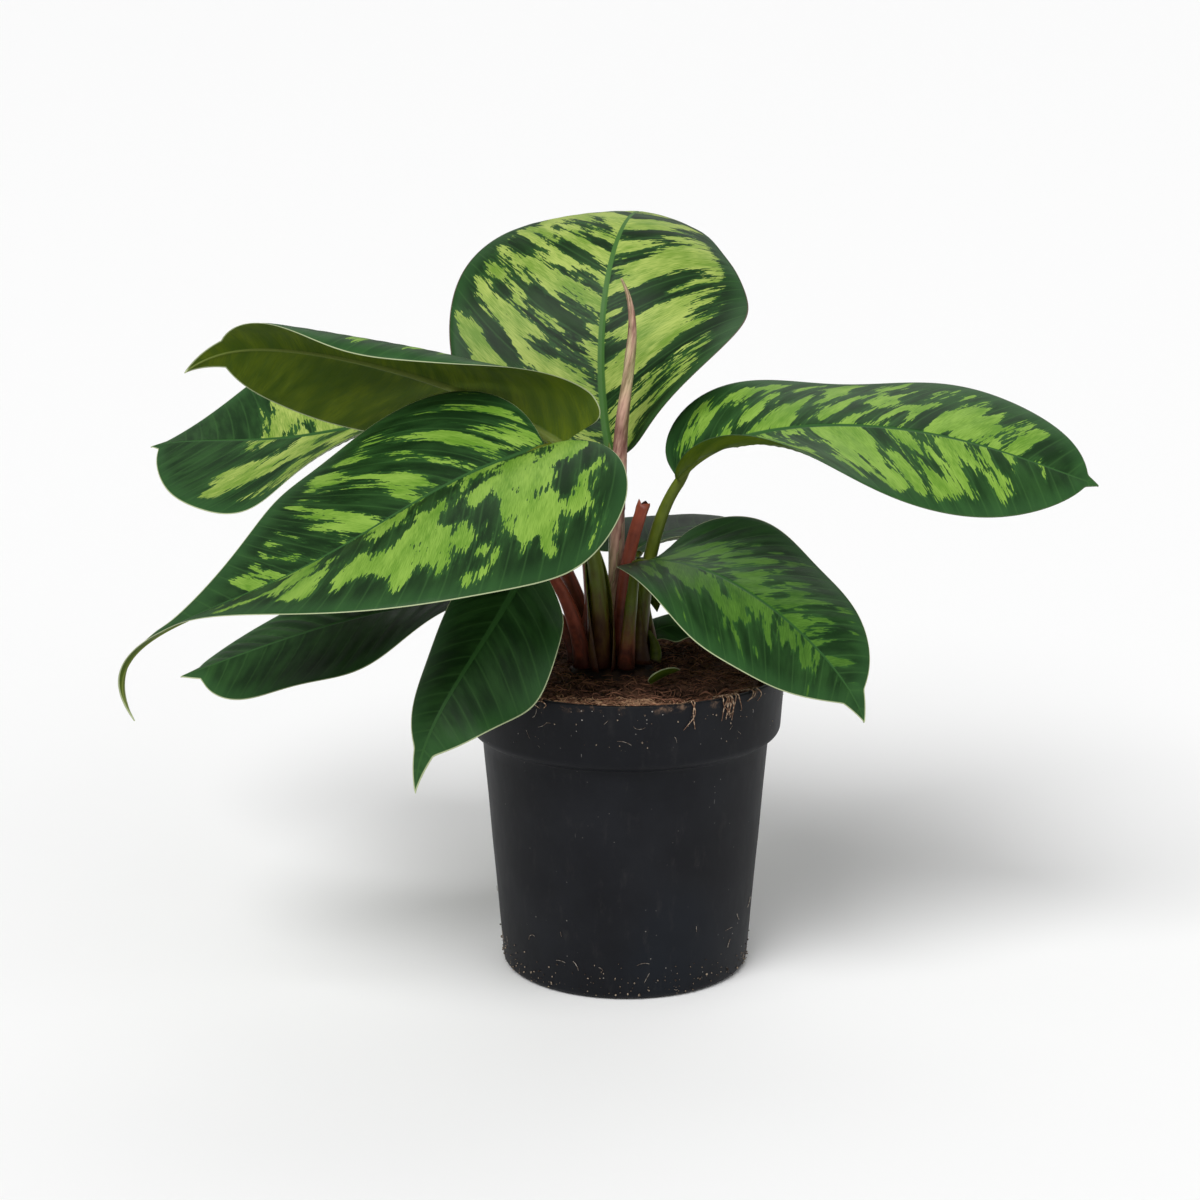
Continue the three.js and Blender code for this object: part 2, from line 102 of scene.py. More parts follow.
# The same blades as in the part: see there for what each value means.
BLADES = {
    "leaf_back": dict(
        midrib=[
            (-5, 29, 188), (-12, 41, 216), (-12, 48, 245),
            (-7, 61, 293), (11, 109, 286), (12, 129, 258),
        ],
        side=[(0.97, -0.22, 0), (0.95, -0.25, -0.25)],
        half=55, left=1.13, lobes=(11, 7), ends=(0.59, 0.74), tail=(0.05, 3),
        tilt_left=(2, -4, -16), tilt_right=(40, -25, 18),
        curl_left=(9, -8, -36), curl_right=(49, -66, -40),
        ripple=(2, 3.8, -0.3, -1.3, -0.7),
    ),
    "leaf_upper_left": dict(
        midrib=[
            (-24, 4, 198), (-49, 12, 214), (-75, 23, 225),
            (-105, 20, 225), (-140, 16, 244), (-163, 4, 225),
        ],
        side=[(0, 0.55, -0.85), (0, 0.5, -0.85)],
        half=34, left=0.99, lobes=(18, 14), ends=(0.45, 0.52), tail=(0.11, 6),
        tilt_left=(41, 6, 11), tilt_right=(4, 5, -12),
        curl_left=(-44, -182, -80), curl_right=(-4, 0, -3),
        ripple=(2, -1.1, -0.3, -1.3, 0.9),
    ),
    "leaf_rear_left": dict(
        midrib=[
            (-91, 68, 197), (-113, 75, 193), (-132, 85, 185),
            (-153, 94, 183), (-175, 103, 185), (-196, 110, 179),
        ],
        side=[(0, 1, 0.3), (0, 1, 0.6)],
        half=47, left=1.06, lobes=(10, 10), ends=(0.61, 0.64), tail=(0.05, 4),
        tilt_left=(19, -4, 16), tilt_right=(14, 22, -31),
        curl_left=(8, -23, 2), curl_right=(5, 23, 11),
        ripple=(2, 0.4, -0.9, 1.4, -0.5),
    ),
    "leaf_front_left": dict(
        midrib=[
            (-29, -20, 202), (-52, -35, 197), (-79, -49, 191), (-98, -61, 172),
            (-112, -71, 155), (-150, -77, 158), (-191, -69, 145), (-173, -64, 111),
        ],
        side=[(0.3, 0.8, 0.45), (0, 0.7, 0.6)],
        half=66, left=1.13, lobes=(24, 15), ends=(0.8, 1.34), tail=(0.2, 4.5),
        tilt_left=(54, 12, 62), tilt_right=(3, -3, -28),
        curl_left=(-83, -36, 9), curl_right=(-34, -17, 28),
        ripple=(1, -1.2, -0.4, -0.2, -0.5),
    ),
    "leaf_right": dict(
        midrib=[
            (19, 0, 187), (37, -7, 213), (81, -9, 209),
            (109, -13, 213), (140, -16, 198), (171, -20, 188),
        ],
        side=[(0, -0.7, -0.3), (0, -0.8, -0.6)],
        half=43, left=1.05, lobes=(8, 0), ends=(0.64, 0.63), tail=(0.03, 3),
        tilt_left=(21, -29, 14), tilt_right=(22, -2, 6),
        curl_left=(-8, -32, -19), curl_right=(112, -16, -47),
        ripple=(1.6, 1.1, 1.3, 1.5, 2.8),
    ),
    "leaf_lower_right": dict(
        midrib=[
            (4, -13, 158), (22, -26, 165), (44, -32, 156),
            (61, -39, 141), (78, -41, 127), (86, -45, 106),
        ],
        side=[(0.1, -0.8, -0.5), (-0.4, -0.7, -0.5)],
        half=41, left=1.14, lobes=(6, 0), ends=(0.48, 0.67), tail=(0.09, 6),
        tilt_left=(-59, 2, 17), tilt_right=(47, -7, 4),
        curl_left=(64, -14, -56), curl_right=(21, -36, 21),
        ripple=(2, 1.4, 0.5, -0.7, -1.2),
    ),
    "leaf_rear_right": dict(
        midrib=[(4, 40, 151), (17, 49, 160), (31, 61, 158), (47, 71, 157), (63, 76, 150), (74, 82, 137)],
        side=[(0, -1, 0), (0, -1, -0.2)],
        half=33, left=1.03, lobes=(12, 11), ends=(0.52, 0.82), tail=(0.08, 4),
        tilt_left=(16, -16, -9), tilt_right=(-2, -3, 0),
        curl_left=(7, -30, -12), curl_right=(12, -13, 0),
        ripple=(2, 0.1, 0.7, 0.8, 0),
    ),
    "leaf_rear": dict(
        midrib=[(4, 12, 154), (8, 16, 153), (10, 19, 142), (12, 21, 131)],
        side=[(0.7, -0.6, 0), (0.8, -0.4, 0)],
        half=9, left=1, lobes=(3, 3), ends=(0.6, 0.8), tail=(0.1, 2),
        tilt_left=(10, 0, 0), tilt_right=(10, 0, 0),
        curl_left=(0, -20, 0), curl_right=(0, -20, 0),
        ripple=(2, 0, 0, 0, 0),
    ),
    "leaf_lower_left": dict(
        midrib=[
            (-47, 9, 141), (-71, 3, 140), (-95, -4, 137),
            (-119, -10, 132), (-141, -14, 123), (-165, -17, 115),
        ],
        side=[(0, 0.9, 0.3), (0, 0.8, 0.5)],
        half=33, left=1.05, lobes=(10, 10), ends=(0.6, 0.44), tail=(0.06, 5),
        tilt_left=(34, 2, -3), tilt_right=(9, -5, -35),
        curl_left=(15, -11, 12), curl_right=(-2, -16, -3),
        ripple=(2, -0.5, 0, 1, -2.3),
    ),
    "leaf_front_low": dict(
        midrib=[
            (-34, -31, 163), (-41, -47, 153), (-49, -58, 138),
            (-62, -67, 125), (-73, -71, 107), (-74, -71, 87),
        ],
        side=[(-0.8, 0.2, 0.3), (-0.8, 0.3, 0.3)],
        half=23, left=1.15, lobes=(0, 8), ends=(0.6, 0.73), tail=(0.15, 4),
        tilt_left=(-15, -3, 1), tilt_right=(-1, -37, -7),
        curl_left=(-17, -14, 5), curl_right=(2, -40, -40),
        ripple=(2, -1, 0, 0.6, -5.7),
    ),
    "leaf_small_back": dict(
        midrib=[(7, 20, 121), (15, 25, 127), (28, 30, 125), (41, 33, 119)],
        side=[(0, -1, -0.2), (0, -1, -0.1)],
        half=9, left=1, lobes=(3, 3), ends=(0.6, 0.8), tail=(0.1, 2),
        tilt_left=(15, 5, 0), tilt_right=(-10, -15, 0),
        curl_left=(0, -15, 0), curl_right=(0, -25, 0),
        ripple=(2.5, 0.8, 0, 0.5, 0),
    ),
    "soil_leaf": dict(
        midrib=[(9, -27, 115.8), (13, -27, 118), (17, -26, 120), (20, -24, 120)],
        side=[(0, -1, 0.2), (0, -1, 0.4)],
        half=4.5, left=1, lobes=(1, 1), ends=(0.6, 0.8), tail=(0.05, 0.8),
        tilt_left=(30, 20, 10), tilt_right=(30, 20, 10),
        curl_left=(20, 20, 20), curl_right=(20, 20, 20),
        ripple=(2, 0, 0, 0, 0),
    ),
}

# Each blade's markings. lime: how much of it is lime, about -0.6 for none. tip: where the dark tip starts.
# margin: the share of each half, from its edge in, that darkens. blotch: a blotch's width across and
# length along the side veins, on the left and right halves. soft: how gently a blotch ends.
# bulge: how far the blade rises between its side veins.
# the lime shift: how much more lime the left and right halves have, and on leaf_front_left the far half's
# smaller share is painted shade. depth: how light the dark green is.
PLAIN = dict(lime=-0.6, tip=0.9, margin=0.16, blotch=((6, 16), (6, 16)), soft=0.03, bulge=0.3)
PLAIN |= dict(tone="dull", rib="dark", edge="dim", seed=60, lime_and_shade_shift=(0, 0), depth=1.0)
LOOKS = {
    "leaf_back": dict(
        PLAIN, lime=0.02, tip=0.88, margin=0.2, blotch=((9, 28), (9, 38)), soft=0.006, bulge=0.25,
        seed=3, tone="pale", rib="light", edge="red", lime_and_shade_shift=(0.01, -0.02), depth=0.62,
    ),
    "leaf_upper_left": dict(
        PLAIN, lime=-0.1, margin=0.3, blotch=((6, 18), (7, 18)), soft=0.01, bulge=0.2,
        seed=14, tone="fresh", edge="pale",
    ),
    "leaf_rear_left": dict(
        PLAIN, lime=0.02, tip=0.62, blotch=((12, 20), (10, 22)), soft=0.006, bulge=0.25,
        seed=25, tone="pale", edge="pale",
    ),
    "leaf_front_left": dict(
        PLAIN, lime=0.015, tip=0.8, margin=0.2, blotch=((12, 15), (7, 30)), soft=0.006, bulge=0.2,
        # the right (far) half's lowered lime is painted shade
        seed=31, tone="fresh", edge="pale", lime_and_shade_shift=(0.0, -0.07), depth=0.8,
    ),
    "leaf_right": dict(
        PLAIN, lime=0.0, tip=0.86, margin=0.2, blotch=((8, 20), (8, 26)), soft=0.008, bulge=0.3,
        seed=47, tone="fresh",
    ),
    "leaf_lower_right": dict(
        PLAIN, lime=0.05, tip=0.86, margin=0.75, blotch=((4.5, 12), (4.5, 12)), soft=0.018, bulge=0.35,
        seed=58, edge="pale",
    ),
    "leaf_rear_right": dict(PLAIN, seed=60, edge="pale"),
    "leaf_rear": dict(PLAIN, seed=70, bulge=0.1),
    "leaf_lower_left": dict(PLAIN, seed=80, bulge=0.75, edge="pale"),
    "leaf_front_low": dict(PLAIN, seed=90, bulge=0.4, edge="pale"),
    "leaf_small_back": dict(PLAIN, seed=95, bulge=0.2, edge="pale"),
    "soil_leaf": dict(PLAIN, seed=97, bulge=0.0, edge="pale"),
}

# The lime of the blotches, light and deep; the midrib; the thin line round the edge.
TONES = {
    # the pale tone's paler, yellower lime is partly painted light: it stands for blotches lit from the front
    "pale": ((0.38, 0.47, 0.11), (0.13, 0.245, 0.026)),
    "fresh": ((0.24, 0.40, 0.06), (0.105, 0.235, 0.02)),
    "dull": ((0.085, 0.20, 0.025), (0.035, 0.105, 0.012)),
}
RIBS = {"light": (0.055, 0.145, 0.03), "dark": (0.03, 0.095, 0.022)}
# the pale edge line is partly the translucent margin's own pale colour and partly a painted highlight where
# it catches light
EDGES = {"pale": (0.42, 0.48, 0.27), "red": (0.11, 0.075, 0.05), "dim": (0.05, 0.10, 0.03)}

# ---- stalks and free pieces ------------------------------------------------
# red: how red the stalk is from its foot up, and sheath: how far its winged sheath reaches.
STALKS = {
    "stalk_back": dict(
        blade="leaf_back", foot=(-3, 7), via=[(-4, 10, 140), (-4, 16, 168)],
        radius=(3, 2), red=0.3, sheath=0,
    ),
    "stalk_upper_left": dict(
        blade="leaf_upper_left", foot=(-12, 0), via=[(-12, 1, 140), (-13, 0, 175)],
        radius=(3, 2), red=0.55, sheath=0.5,
    ),
    "stalk_rear_left": dict(
        blade="leaf_rear_left", foot=(-13, 7), via=[(-18, 20, 155), (-52, 40, 192)],
        radius=(2.8, 1.8), red=0.5, sheath=0,
    ),
    "stalk_front_left": dict(
        blade="leaf_front_left", foot=(-9, -7), via=[(-9, -13, 145), (-11, -18, 182)],
        radius=(3.2, 2.2), red=0.15, sheath=0.5,
    ),
    "stalk_right": dict(
        blade="leaf_right", foot=(4, -2), via=[(6, -1, 142), (9, 0, 170)],
        radius=(3, 2), red=0.12, sheath=0.45,
    ),
    "stalk_lower_right": dict(
        blade="leaf_lower_right", foot=(0, -11), via=[(1, -13, 130), (2, -15, 145)],
        radius=(2.6, 1.9), red=0.35, sheath=0,
    ),
    "stalk_rear_right": dict(
        blade="leaf_rear_right", foot=(3.5, 6), via=[(3.5, 8, 130), (-2, 32, 138)],
        radius=(2.6, 1.7), red=0.4, sheath=0,
    ),
    "stalk_rear": dict(
        blade="leaf_rear", foot=(10, 5.5), via=[(9, 7, 132), (4, 9, 148)],
        radius=(2, 1.4), red=0.2, sheath=0,
    ),
    "stalk_lower_left": dict(
        blade="leaf_lower_left", foot=(-18, -1.5), via=[(-20, -1, 132), (-34, 1, 145)],
        radius=(2.8, 1.8), red=0.8, sheath=0,
    ),
    "stalk_front_low": dict(
        blade="leaf_front_low", foot=(-16, -8), via=[(-17, -12, 138), (-27, -18, 158)],
        radius=(2.8, 1.8), red=1.0, sheath=0,
    ),
    "stalk_small_back": dict(
        blade="leaf_small_back", foot=(8, 12), via=[(8, 14, 119), (7, 17, 120.5)],
        radius=(1.4, 1), red=0.2, sheath=0,
    ),
}
SPEAR = [
    (-5.5, 1, STALK_FOOT), (-6, 0, 150), (7, 3, 180), (-17, 6, 205),
    (7, 10, 222), (6, 13, 245), (-2, 14, 259),
]
SPEAR_RADIUS = (2.6, 2.8, 2.8, 0.4)
SHEATH_RIGHT = [(-2.5, -5, STALK_FOOT), (-2, -5, 140), (0, -5, 160), (7, -4, 178)]
SHEATH_RIGHT_RADIUS = (2.5, 2.3, 2.2, 2)
SHEATH_SMALL = [(11, -3, STALK_FOOT), (12, -2, 121), (11, -1, 125), (8.5, -1, 129)]
SHEATH_SMALL_RADIUS = (2, 2.2, 1.6, 0.5)


# ---- shader helpers --------------------------------------------------------
class Shader:
    """A material and short ways to add its nodes. A value is a number, a tuple or another node's output."""

    def __init__(self, name):
        self.material = bpy.data.materials.new(name)
        self.material.use_nodes = True
        self.tree = self.material.node_tree
        self.tree.nodes.clear()

    def add(self, kind, inputs=None, **settings):
        made = self.tree.nodes.new("ShaderNode" + kind)
        for key, value in settings.items():
            setattr(made, key, value)
        for key, value in (inputs or {}).items():
            socket = made.inputs[key]
            if isinstance(value, bpy.types.NodeSocket):
                self.tree.links.new(value, socket)
            elif socket.type == "RGBA":
                socket.default_value = (*value[:3], 1)
            else:
                socket.default_value = value
        return made

    def attribute(self, name):
        made = self.add("Attribute", attribute_name=name, attribute_type="GEOMETRY")
        return made.outputs["Vector"]

    def split(self, vector):
        return self.add("SeparateXYZ", {0: vector}).outputs

    def math(self, operation, a, b):
        return self.add("Math", {0: a, 1: b}, operation=operation).outputs[0]

    def plus(self, a, b):
        return self.math("ADD", a, b)

    def times(self, a, b):
        return self.math("MULTIPLY", a, b)

    def scale(self, vector, by):
        return self.add("VectorMath", {0: vector, 1: by}, operation="MULTIPLY").outputs[0]

    def noise(self, vector, scale, detail, rough=0.5, warp=0.0):
        inputs = {"Vector": vector, "Scale": scale, "Detail": detail}
        inputs |= {"Roughness": rough, "Distortion": warp}
        return self.add("TexNoise", inputs).outputs[0]

    def streaks(self, width):
        """A place on a stalk or sheath for streaks along it, from its stored run."""
        run, around, seed = self.split(self.attribute("run"))
        inputs = {0: self.times(run, 9.0), 1: self.times(around, width), 2: seed}
        return run, self.add("CombineXYZ", inputs).outputs[0]

    def cells(self, vector, scale):
        return self.add("TexVoronoi", {"Vector": vector, "Scale": scale}).outputs

    def step(self, value, low, high):
        """0 at low, 1 at high, smooth between; low may be the larger."""
        inputs = {0: value, 1: low, 2: high}
        return self.add("MapRange", inputs, interpolation_type="SMOOTHSTEP").outputs[0]

    def mix(self, factor, a, b):
        made = self.add("Mix", data_type="RGBA")
        for index, value in ((0, factor), (6, a), (7, b)):
            socket = made.inputs[index]
            if isinstance(value, bpy.types.NodeSocket):
                self.tree.links.new(value, socket)
            elif index:
                socket.default_value = (*value, 1)
            else:
                socket.default_value = value
        return made.outputs[2]

    def bump(self, height, distance, strength):
        inputs = {"Height": height, "Distance": distance * MM, "Strength": strength}
        return self.add("Bump", inputs).outputs[0]

    def finish(self, colour, roughness, specular=0.5, normal=None):
        inputs = {"Base Color": colour, "Roughness": roughness, "Specular IOR Level": specular}
        if normal is not None:
            inputs["Normal"] = normal
        shader = self.add("BsdfPrincipled", inputs)
        out = self.add("OutputMaterial")
        self.tree.links.new(shader.outputs[0], out.inputs[0])
        return self.material


# ---- mesh helpers ----------------------------------------------------------
def make_piece(name, points, faces, materials, face_material=None):
    """A smooth mesh from points in millimetres."""
    mesh = bpy.data.meshes.new(name)
    mesh.from_pydata([tuple(p) for p in np.asarray(points, float) * MM], [], faces)
    mesh.validate()
    for material in materials:
        mesh.materials.append(material)
    if face_material is not None:
        mesh.polygons.foreach_set("material_index", face_material)
    mesh.polygons.foreach_set("use_smooth", [True] * len(mesh.polygons))
    mesh.update()
    piece = bpy.data.objects.new(name, mesh)
    bpy.context.scene.collection.objects.link(piece)
    return piece


def store(piece, name, values):
    """Keeps a vector at each vertex for the shader to read."""
    layer = piece.data.attributes.new(name, "FLOAT_VECTOR", "POINT")
    layer.data.foreach_set("vector", np.asarray(values, np.float32).ravel())


def place(piece, slot, *nodes):
    """Puts a piece on the only body, and in the stead of any nodes named. The slot is not used."""
    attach(piece, "root")
    if nodes:
        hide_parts(*nodes)


def unit(v):
    return v / np.maximum(np.linalg.norm(v, axis=-1, keepdims=True), 1e-9)


def bezier(points, u):
    """Points and slopes of a Bezier curve of any degree, carried on straight before its start."""
    level = np.asarray(points, float)[:, None, :]
    u = np.atleast_1d(np.asarray(u, float))
    at = np.clip(u, 0, 1)[None, :, None]
    last = len(points) - 1
    level = np.repeat(level, len(u), axis=1)
    slope = None
    while len(level) > 1:
        if len(level) == 2:
            slope = (level[1] - level[0]) * last
        level = level[:-1] * (1 - at) + level[1:] * at
    return level[0] + slope * (u - at[0, :, 0])[:, None], slope


def curve_length(points):
    spots, _ = bezier(points, np.linspace(0, 1, 101))
    return float(np.linalg.norm(np.diff(spots, axis=0), axis=1).sum())


def ring_faces(rings, sides, start=0, turned=False):
    """Faces between rings of points; turned makes them look the other way."""
    faces = []
    for i in range(rings - 1):
        for k in range(sides):
            a = start + i * sides + k
            b = start + i * sides + (k + 1) % sides
            face = (a, b, b + sides, a + sides)
            faces.append((a, a + sides, b + sides, b) if turned else face)
    return faces


def mound_faces(rings, sides):
    """Faces of a solid that has one point on top, then rings of points, and a flat underside."""
    faces = [(0, 1 + k, 1 + (k + 1) % sides) for k in range(sides)]
    faces += ring_faces(rings, sides, 1, True)
    last = 1 + (rings - 1) * sides
    return faces + [tuple(last + k for k in range(sides - 1, -1, -1))]


def circle(radius, sides, centre=(0, 0)):
    """The x and y of points spaced evenly round a circle."""
    for k in range(sides):
        angle = 2 * math.pi * k / sides
        yield centre[0] + radius * math.cos(angle), centre[1] + radius * math.sin(angle)


def tube(path, radii, sides, flat=1.0):
    """A closed tube round a path of points. Returns its points, its faces and how far along each point is."""
    path = np.asarray(path, float)
    radii = np.broadcast_to(np.asarray(radii, float), len(path))
    forward = unit(np.gradient(path, axis=0))
    first = np.cross(forward[0], (0.3, 1, 0.2))
    points = []
    angles = np.linspace(0, 2 * np.pi, sides, endpoint=False)
    for spot, ahead, radius in zip(path, forward, radii):
        first = unit(first - ahead * first.dot(ahead))
        second = np.cross(ahead, first)
        ring = np.outer(np.cos(angles), first) + flat * np.outer(np.sin(angles), second)
        points.append(spot + radius * ring)
    rings = len(path)
    faces = ring_faces(rings, sides)
    faces.append(tuple(range(sides - 1, -1, -1)))
    faces.append(tuple((rings - 1) * sides + j for j in range(sides)))
    return np.concatenate(points), faces, np.repeat(np.linspace(0, 1, rings), sides)


def joined(parts):
    """Several (points, faces) lists as one."""
    points = []
    faces = []
    start = 0
    for some, their in parts:
        faces += [tuple(start + k for k in face) for face in their]
        points.append(np.asarray(some))
        start += len(some)
    return np.concatenate(points), faces


# ---- blades ----------------------------------------------------------------
def along(values, u):
    t = np.clip(u, 0, 1)
    return values[0] * (1 - t) ** 2 + 2 * values[1] * t * (1 - t) + values[2] * t * t


def blade_frame(blade, u):
    point, slope = bezier(blade["midrib"], u)
    forward = unit(slope)
    t = np.clip(u, 0, 1)[:, None]
    across = np.asarray(blade["side"][0]) * (1 - t) + np.asarray(blade["side"][1]) * t
    across = unit(across - forward * (across * forward).sum(-1, keepdims=True))
    return point, forward, across, np.cross(across, forward)


def blade_points(blade, length, x, y, side):
    """The blade's surface and its upper normal at x along the midrib and y out from it."""
    u = x / length
    point, _, across, up = blade_frame(blade, u)
    hand = "right" if side > 0 else "left"
    tilt = np.radians(along(blade["tilt_" + hand], u))
    curl = np.radians(along(blade["curl_" + hand], u))
    curl = np.where(np.abs(curl) < 1e-4, 1e-4, curl)
    turn = curl * y / blade["half"]
    k = curl / blade["half"]
    out = (np.sin(tilt + turn) - np.sin(tilt)) / k
    waves, right_sin, right_cos, left_sin, left_cos = blade["ripple"]
    phase = 2 * np.pi * waves * u
    high = (right_sin, right_cos) if side > 0 else (left_sin, left_cos)
    ripple = high[0] * np.sin(phase) + high[1] * np.cos(phase)
    rise = (np.cos(tilt) - np.cos(tilt + turn)) / k + ripple * (y / blade["half"]) ** 2
    spot = point + side * across * out[:, None] + up * rise[:, None]
    angle = np.where(y > 0, tilt + turn, 0)[:, None]
    return spot, up * np.cos(angle) - side * across * np.sin(angle)


def blade_margin(blade, length, t, side):
    opening, closing = blade["ends"]
    peak = opening / (opening + closing)
    scale = 1 / (peak**opening * (1 - peak) ** closing)
    share, tail = blade["tail"]
    body = np.minimum(t / (1 - share), 1)
    half = blade["half"] * (1 if side > 0 else blade["left"])
    tip = tail * np.where(body < 1, body**2, (1 - t) / share)
    y = np.hypot(half * scale * body**opening * (1 - body) ** closing, tip)
    reach = t / LOBE_REACH
    lobe = blade["lobes"][1 if side > 0 else 0]
    return length * t - lobe * reach * np.exp(1 - reach), y


def midrib_radius(t, big):
    """The midrib's half width, from the stalk to the tip."""
    return big * (MIDRIB_TIP + (MIDRIB_BASE - MIDRIB_TIP) * (1 - t) ** 1.4)


def blade_half(blade, length, side, rows, columns):
    """One half's grid from midrib to margin: points, normals and the values that its markings need."""
    t = np.clip((1 - np.cos(np.linspace(0, np.pi, rows))) / 2, 0.002, 0.998)
    share = np.linspace(0, 1, columns) ** 1.35
    edge_x, edge_y = blade_margin(blade, length, t, side)
    start = length * t**VEIN_SWEEP
    x = start[:, None] + (edge_x - start)[:, None] * share
    y = edge_y[:, None] * share
    spots, normals = blade_points(blade, length, x.ravel(), y.ravel(), side)
    reach = np.hypot(edge_x - start, edge_y)[:, None]
    values = dict(
        origin=x - SIDE_VEIN_LEAN * y - SIDE_VEIN_BEND * y**2 / blade["half"],
        vein=reach * share * side,
        t=np.repeat(t[:, None], columns, 1),
        out=y * side,
        edge=edge_y[:, None] * (1 - share),
    )
    return spots.reshape(rows, columns, 3), normals.reshape(rows, columns, 3), values


def make_blade(name, materials):
    blade = BLADES[name]
    look = LOOKS[name]
    length = curve_length(blade["midrib"])
    big = min(1, length / 110)
    rows = max(40, int(BLADE_ROWS * min(1, length / 120)))
    columns = max(14, int(BLADE_COLUMNS * min(1, length / 120)))
    halves = [blade_half(blade, length, side, rows, columns) for side in (-1, 1)]
    left, right = halves
    spots = np.concatenate([left[0][:, ::-1], right[0][:, 1:]], 1)
    normals = np.concatenate([left[1][:, ::-1], right[1][:, 1:]], 1)
    normals[:, columns - 1] = unit(left[1][:, 1] + right[1][:, 1])
    value = {key: np.concatenate([left[2][key][:, ::-1], right[2][key][:, 1:]], 1) for key in left[2]}
    across = spots.shape[1]

    # the midrib sinks into the upper side and stands out below; side veins do the same, more gently
    rib = midrib_radius(value["t"], big)
    inside = np.clip(1 - (np.abs(value["out"]) / rib) ** 2, 0, 1)
    phase = value["origin"] / (VEIN_SPACING * max(0.5, big))
    away = np.abs(phase - np.round(phase)) * 2
    fade = np.clip(value["edge"] / 9, 0, 1) * np.clip(np.abs(value["out"]) / 5, 0, 1)
    bulge = look["bulge"] * (np.sqrt(away) - 0.6) * fade
    thin = np.clip(value["edge"] / 2.0, 0.35, 1) * BLADE_THICKNESS / 2
    upper = bulge + thin - 0.55 * rib * np.sqrt(inside) * 0.5
    vein_ridge = 0.22 * big * np.clip(1 - away * 5, 0, 1) * fade
    lower = bulge - thin - 1.0 * rib * np.sqrt(inside) - vein_ridge
    flutter = np.sin(value["origin"] * 0.42 + look["seed"]) * 0.25 * np.clip(1 - value["edge"] / 8, 0, 1)
    upper += flutter * fade
    lower += flutter * fade

    top = spots + normals * upper[..., None]
    bottom = spots + normals * lower[..., None]
    count = rows * across
    index = np.arange(count).reshape(rows, across)
    faces = []
    kind = []
    a, b, c, d = index[:-1, :-1], index[:-1, 1:], index[1:, 1:], index[1:, :-1]
    faces += np.stack([a, b, c, d], -1).reshape(-1, 4).tolist()
    kind += [0] * len(faces)
    under = np.stack([a, d, c, b], -1).reshape(-1, 4) + count
    faces += under.tolist()
    kind += [1] * len(under)

    # a rounded rim: one more row of points just outside each margin
    ring = np.concatenate([index[::-1, 0], index[0, 1:-1], index[:, -1], index[-1, -2:0:-1]])
    flat_top = top.reshape(-1, 3)
    flat_bottom = bottom.reshape(-1, 3)
    middle = (flat_top[ring] + flat_bottom[ring]) / 2
    around = unit(np.roll(middle, -1, 0) - np.roll(middle, 1, 0))
    outward = np.cross(around, normals.reshape(-1, 3)[ring])
    rim = middle + unit(outward) * 0.12
    size = len(ring)
    for i in range(size):
        j = (i + 1) % size
        faces.append((2 * count + i, 2 * count + j, ring[j], ring[i]))
        faces.append((count + ring[i], count + ring[j], 2 * count + j, 2 * count + i))
        kind += [2, 2]
    points = np.concatenate([flat_top, flat_bottom, rim])
    piece = make_piece(name, points, faces, materials, kind)

    # what the markings are drawn from
    flat = {key: v.ravel() for key, v in value.items()}
    wide = np.where(flat["vein"] < 0, look["blotch"][0][0], look["blotch"][1][0])
    long = np.where(flat["vein"] < 0, look["blotch"][0][1], look["blotch"][1][1])
    seed = np.full(count, look["seed"] * 3.7)
    side = np.sign(flat["vein"])
    spot = np.stack([flat["origin"] / wide + side * 5, flat["vein"] / long, seed], 1)
    vein = np.stack([flat["origin"], flat["vein"], seed * 10], 1)
    margin = np.clip(1 - flat["edge"] / (look["margin"] * blade["half"]), 0, 1)
    tip = np.clip((flat["t"] - look["tip"]) / 0.12, 0, 1)
    # each half's lime shift, partly painted shade on a far half
    lime_and_shade_shift = np.where(flat["vein"] < 0, look["lime_and_shade_shift"][0], look["lime_and_shade_shift"][1])
    lime = look["lime"] + lime_and_shade_shift - 0.35 * margin**1.2 - 0.3 * tip
    field = np.stack([lime, flat["edge"], np.abs(flat["out"]) / np.maximum(rib.ravel(), 0.1)], 1)
    every = np.r_[np.arange(count), np.arange(count), ring]
    store(piece, "spot", spot[every])
    store(piece, "vein", vein[every])
    store(piece, "field", field[every])
    return piece


